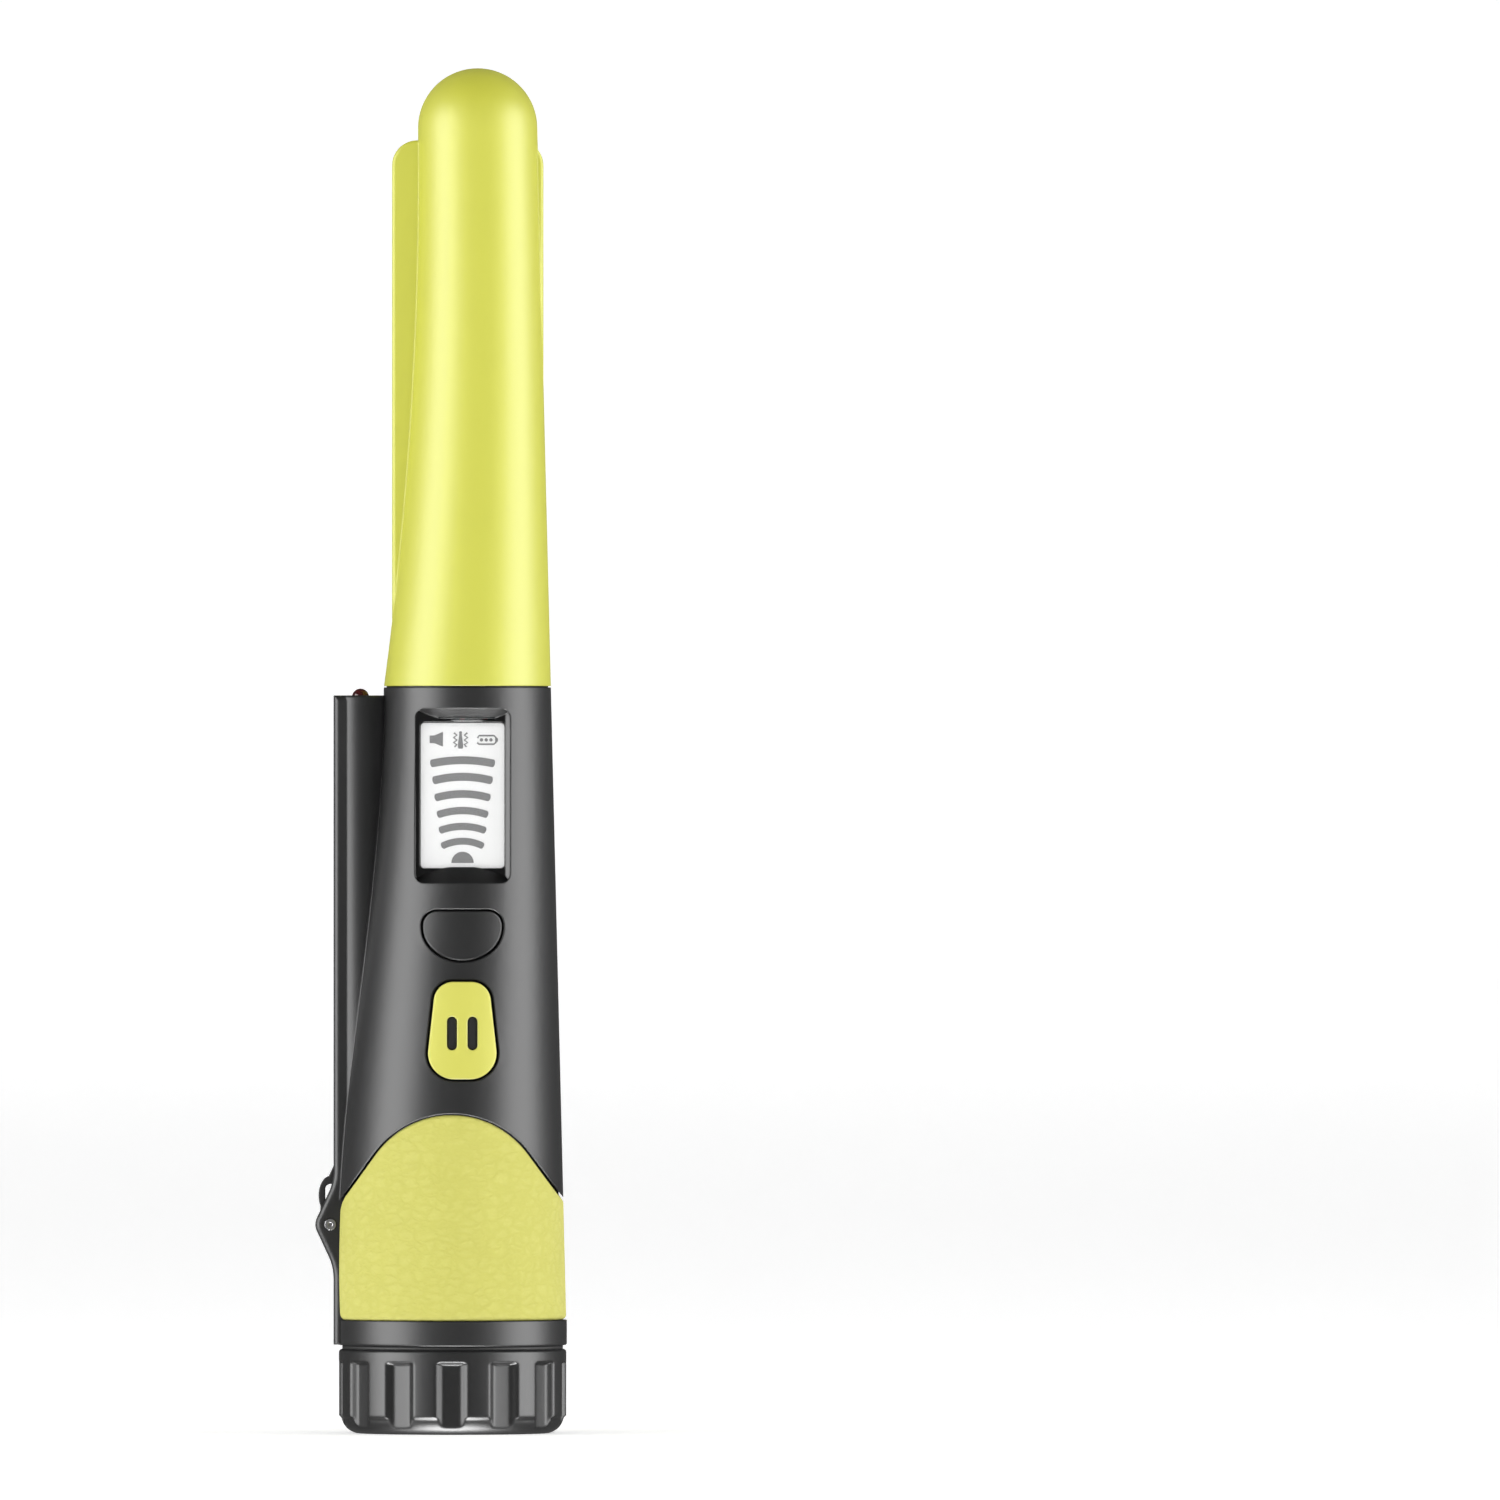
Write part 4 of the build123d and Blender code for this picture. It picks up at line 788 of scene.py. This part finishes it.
cover(reflective_panel(), "lcd_panel")
window = Finish("clear_window")
window_smear = window.noise(0.004, 5.0, 0.65)
window_material = window.surface(
    Base_Color=window.blend(window_smear, (0.92, 0.93, 0.93, 1), (0.86, 0.87, 0.87, 1)),
    Roughness=0.05 + 0.06 * window_smear,
    Alpha=0.08,
)
cover(window_material, "lcd_window")
STRIPE_SPACING = 0.0001
stripes = Finish("striped_rubber")
stripe = stripes.sine((2 * np.pi / STRIPE_SPACING) * stripes.axis("X"))
stripes_material = stripes.surface(
    Base_Color=stripes.blend(0.5 + 0.5 * stripe, (0.42, 0.36, 0.34, 1), (0.03, 0.03, 0.03, 1)),
    Roughness=0.6,
)
cover(stripes_material, "lcd_connector")

# ---------------------------------------------------------------- board and what it carries
# Two boards in green solder mask with dark chips, snap switches and a round sounder. The main board is
# screwed to posts in the front shell, and the contact board closes the battery tube.


def solder_mask():
    """Green lacquer over copper tracks that run in two directions, a shade lighter than the gaps."""
    finish = Finish("solder_mask")
    tracks = finish.noise(0.0009, 0.0, 0.5, finish.stretched(1, 1, 0.12))
    crossing = finish.noise(0.0009, 0.0, 0.5, finish.stretched(0.12, 1, 1))
    track = finish.step(tracks, 0.52, 0.56) * 0.6 + finish.step(crossing, 0.56, 0.6) * 0.4
    return finish.surface(
        Base_Color=finish.blend(track, (0.006, 0.065, 0.022, 1), (0.015, 0.14, 0.045, 1)),
        Roughness=0.3 + 0.1 * track,
        Normal=finish.bump(track, 0.00003, finish.soft_edges(0.0001)),
    )


cover(solder_mask(), "main_board", "contact_board")
chip_resin = plain_part("chip_resin", (0.022, 0.022, 0.024, 1), (0.03, 0.03, 0.032, 1), 0.5, 0.0002, 0.00001)
cover(chip_resin, "board_chips", "buzzer", "mode_switch", "power_switch")

# ---------------------------------------------------------------- vibration motor
# A pencil motor of steel, held on the board in a soft rubber boot. The half-round weight of heavy alloy
# pressed on its shaft shakes the handle as it turns.

cover(steel, "vibration_motor")
cover(turned_steel("heavy_alloy", (0.42, 0.41, 0.40, 1), 0.4), "motor_weight")
cover(seal_rubber, "motor_boot")

# ---------------------------------------------------------------- lamp
# A small lamp of dark red resin that stands up from the keel's shoulder, pushed in from above through a
# rubber collar that seals it.

lamp_resin = Finish("lamp_resin")
lamp_swirl = lamp_resin.noise(0.0012, 3.0)
lamp_material = lamp_resin.surface(
    Base_Color=lamp_resin.blend(lamp_swirl, (0.040, 0.004, 0.004, 1), (0.075, 0.006, 0.006, 1)),
    Roughness=0.12 + 0.08 * lamp_swirl,
)
cover(lamp_material, "lamp")
cover(seal_rubber, "lamp_collar")

# ---------------------------------------------------------------- lanyard pin and link
# A steel pin pressed through the ear at the keel's foot, its ends punched, and on it a black link that
# swings out for the lanyard.

cover(steel, "lanyard_pin")
link_black = Finish("link_black")
link_material = link_black.surface(**satin_black(link_black, 0.0004, 0.46, 0.00003))
cover(link_material, "lanyard_link")

# ---------------------------------------------------------------- studio
# The probe stands on a pale floor that sweeps up all round it. A tall softbox on each side of the camera
# draws a soft streak down each side of the round handle, and a low card lights the cap's lower corner.

FLOOR_FLAT = 6.5
FLOOR_SWEEP = 1.8
FLOOR_TOP = 10.2


def swept_floor():
    """A flat disc, a quarter round that turns it up, and a wall, all turned about Z."""
    bend = np.linspace(0, np.pi / 2, 16)
    far = FLOOR_FLAT + FLOOR_SWEEP
    out = np.concatenate([[0.0], FLOOR_FLAT + FLOOR_SWEEP * np.sin(bend), [far]])[:, None]
    up = np.concatenate([[0.0], FLOOR_SWEEP * (1 - np.cos(bend)), [FLOOR_TOP]])[:, None]
    turn = np.linspace(0, 2 * np.pi, 97)[None, :]
    return skin("studio_floor", [np.stack([out * np.cos(turn), out * np.sin(turn), up + 0 * turn], axis=-1)])


pale = Finish("studio_pale")
pale_material = pale.surface(
    Base_Color=pale.blend(pale.noise(0.5), (0.92, 0.92, 0.92, 1), (0.94, 0.94, 0.94, 1)),
    Roughness=0.9,
    Emission_Color=(1, 1, 1, 1),
    Emission_Strength=0.36,
)
studio_floor = piece("studio_floor", swept_floor(), pale_material)
studio_floor.visible_glossy = False
studio_floor.visible_shadow = False


AIM_LOW, AIM_HIGH = 0.1, 0.25


def card(name, turn, distance, height, width, tall, watts, mirrored):
    """A rectangular lamp at an angle round the probe (0 is at the camera), turned to face its axis.

    A mirrored card is seen only in reflections, and any other card only washes the surfaces with light."""
    lamp = bpy.data.lights.new(name, "AREA")
    lamp.shape, lamp.size, lamp.size_y, lamp.energy = "RECTANGLE", width, tall, watts
    made = bpy.data.objects.new(name, lamp)
    bpy.context.scene.collection.objects.link(made)
    angle = np.radians(turn)
    made.location = (distance * np.sin(angle), -distance * np.cos(angle), height)
    aim = Vector((0, 0, min(max(height, AIM_LOW), AIM_HIGH))) - made.location
    made.rotation_euler = aim.to_track_quat("-Z", "Y").to_euler()
    made.visible_camera = False
    made.visible_glossy = mirrored
    made.visible_diffuse = not mirrored


# Name, angle in degrees, distance and height in metres, width and height of the card, watts, mirrored.
CARDS = [
    ("left_streak", -65, 1.15, 0.2, 0.98, 1.4, 33, True),
    ("right_streak", 76, 1.15, 0.2, 0.98, 1.4, 31, True),
    ("low_streak", -4, 0.17, -0.8, 0.6, 0.55, 28, True),
    ("left_wash", -75, 1.3, 0.2, 0.8, 0.8, 5, False),
    ("right_wash", 80, 1.3, 0.2, 0.8, 0.8, 5, False),
    ("front_wash", 0, 1.5, 0.4, 1.6, 1.2, 3, False),
    ("top_wash", 0, 0.01, 2.4, 2.4, 2.4, 5, False),
]
for row in CARDS:
    card(*row)

world = bpy.data.worlds.new("studio_world")
bpy.context.scene.world = world
world.use_nodes = True
background = world.node_tree.nodes["Background"]
background.inputs["Color"].default_value = (1, 1, 1, 1)
background.inputs["Strength"].default_value = 0.12

CAMERA_MIDDLE = (0.0523, 0.1201)
CAMERA_VIEW_WIDTH = 0.2638
CAMERA_LENS = 800
CAMERA_SENSOR = 36
camera = bpy.data.objects.new("camera", bpy.data.cameras.new("camera"))
bpy.context.scene.collection.objects.link(camera)
camera.data.lens = CAMERA_LENS
camera.data.sensor_width = CAMERA_SENSOR
camera.data.clip_end = 100
camera_distance = CAMERA_VIEW_WIDTH * CAMERA_LENS / CAMERA_SENSOR
camera.location = (CAMERA_MIDDLE[0], -camera_distance, CAMERA_MIDDLE[1])
camera.rotation_euler = (np.pi / 2, 0, 0)
bpy.context.scene.camera = camera
bpy.context.scene.view_settings.view_transform = "Standard"
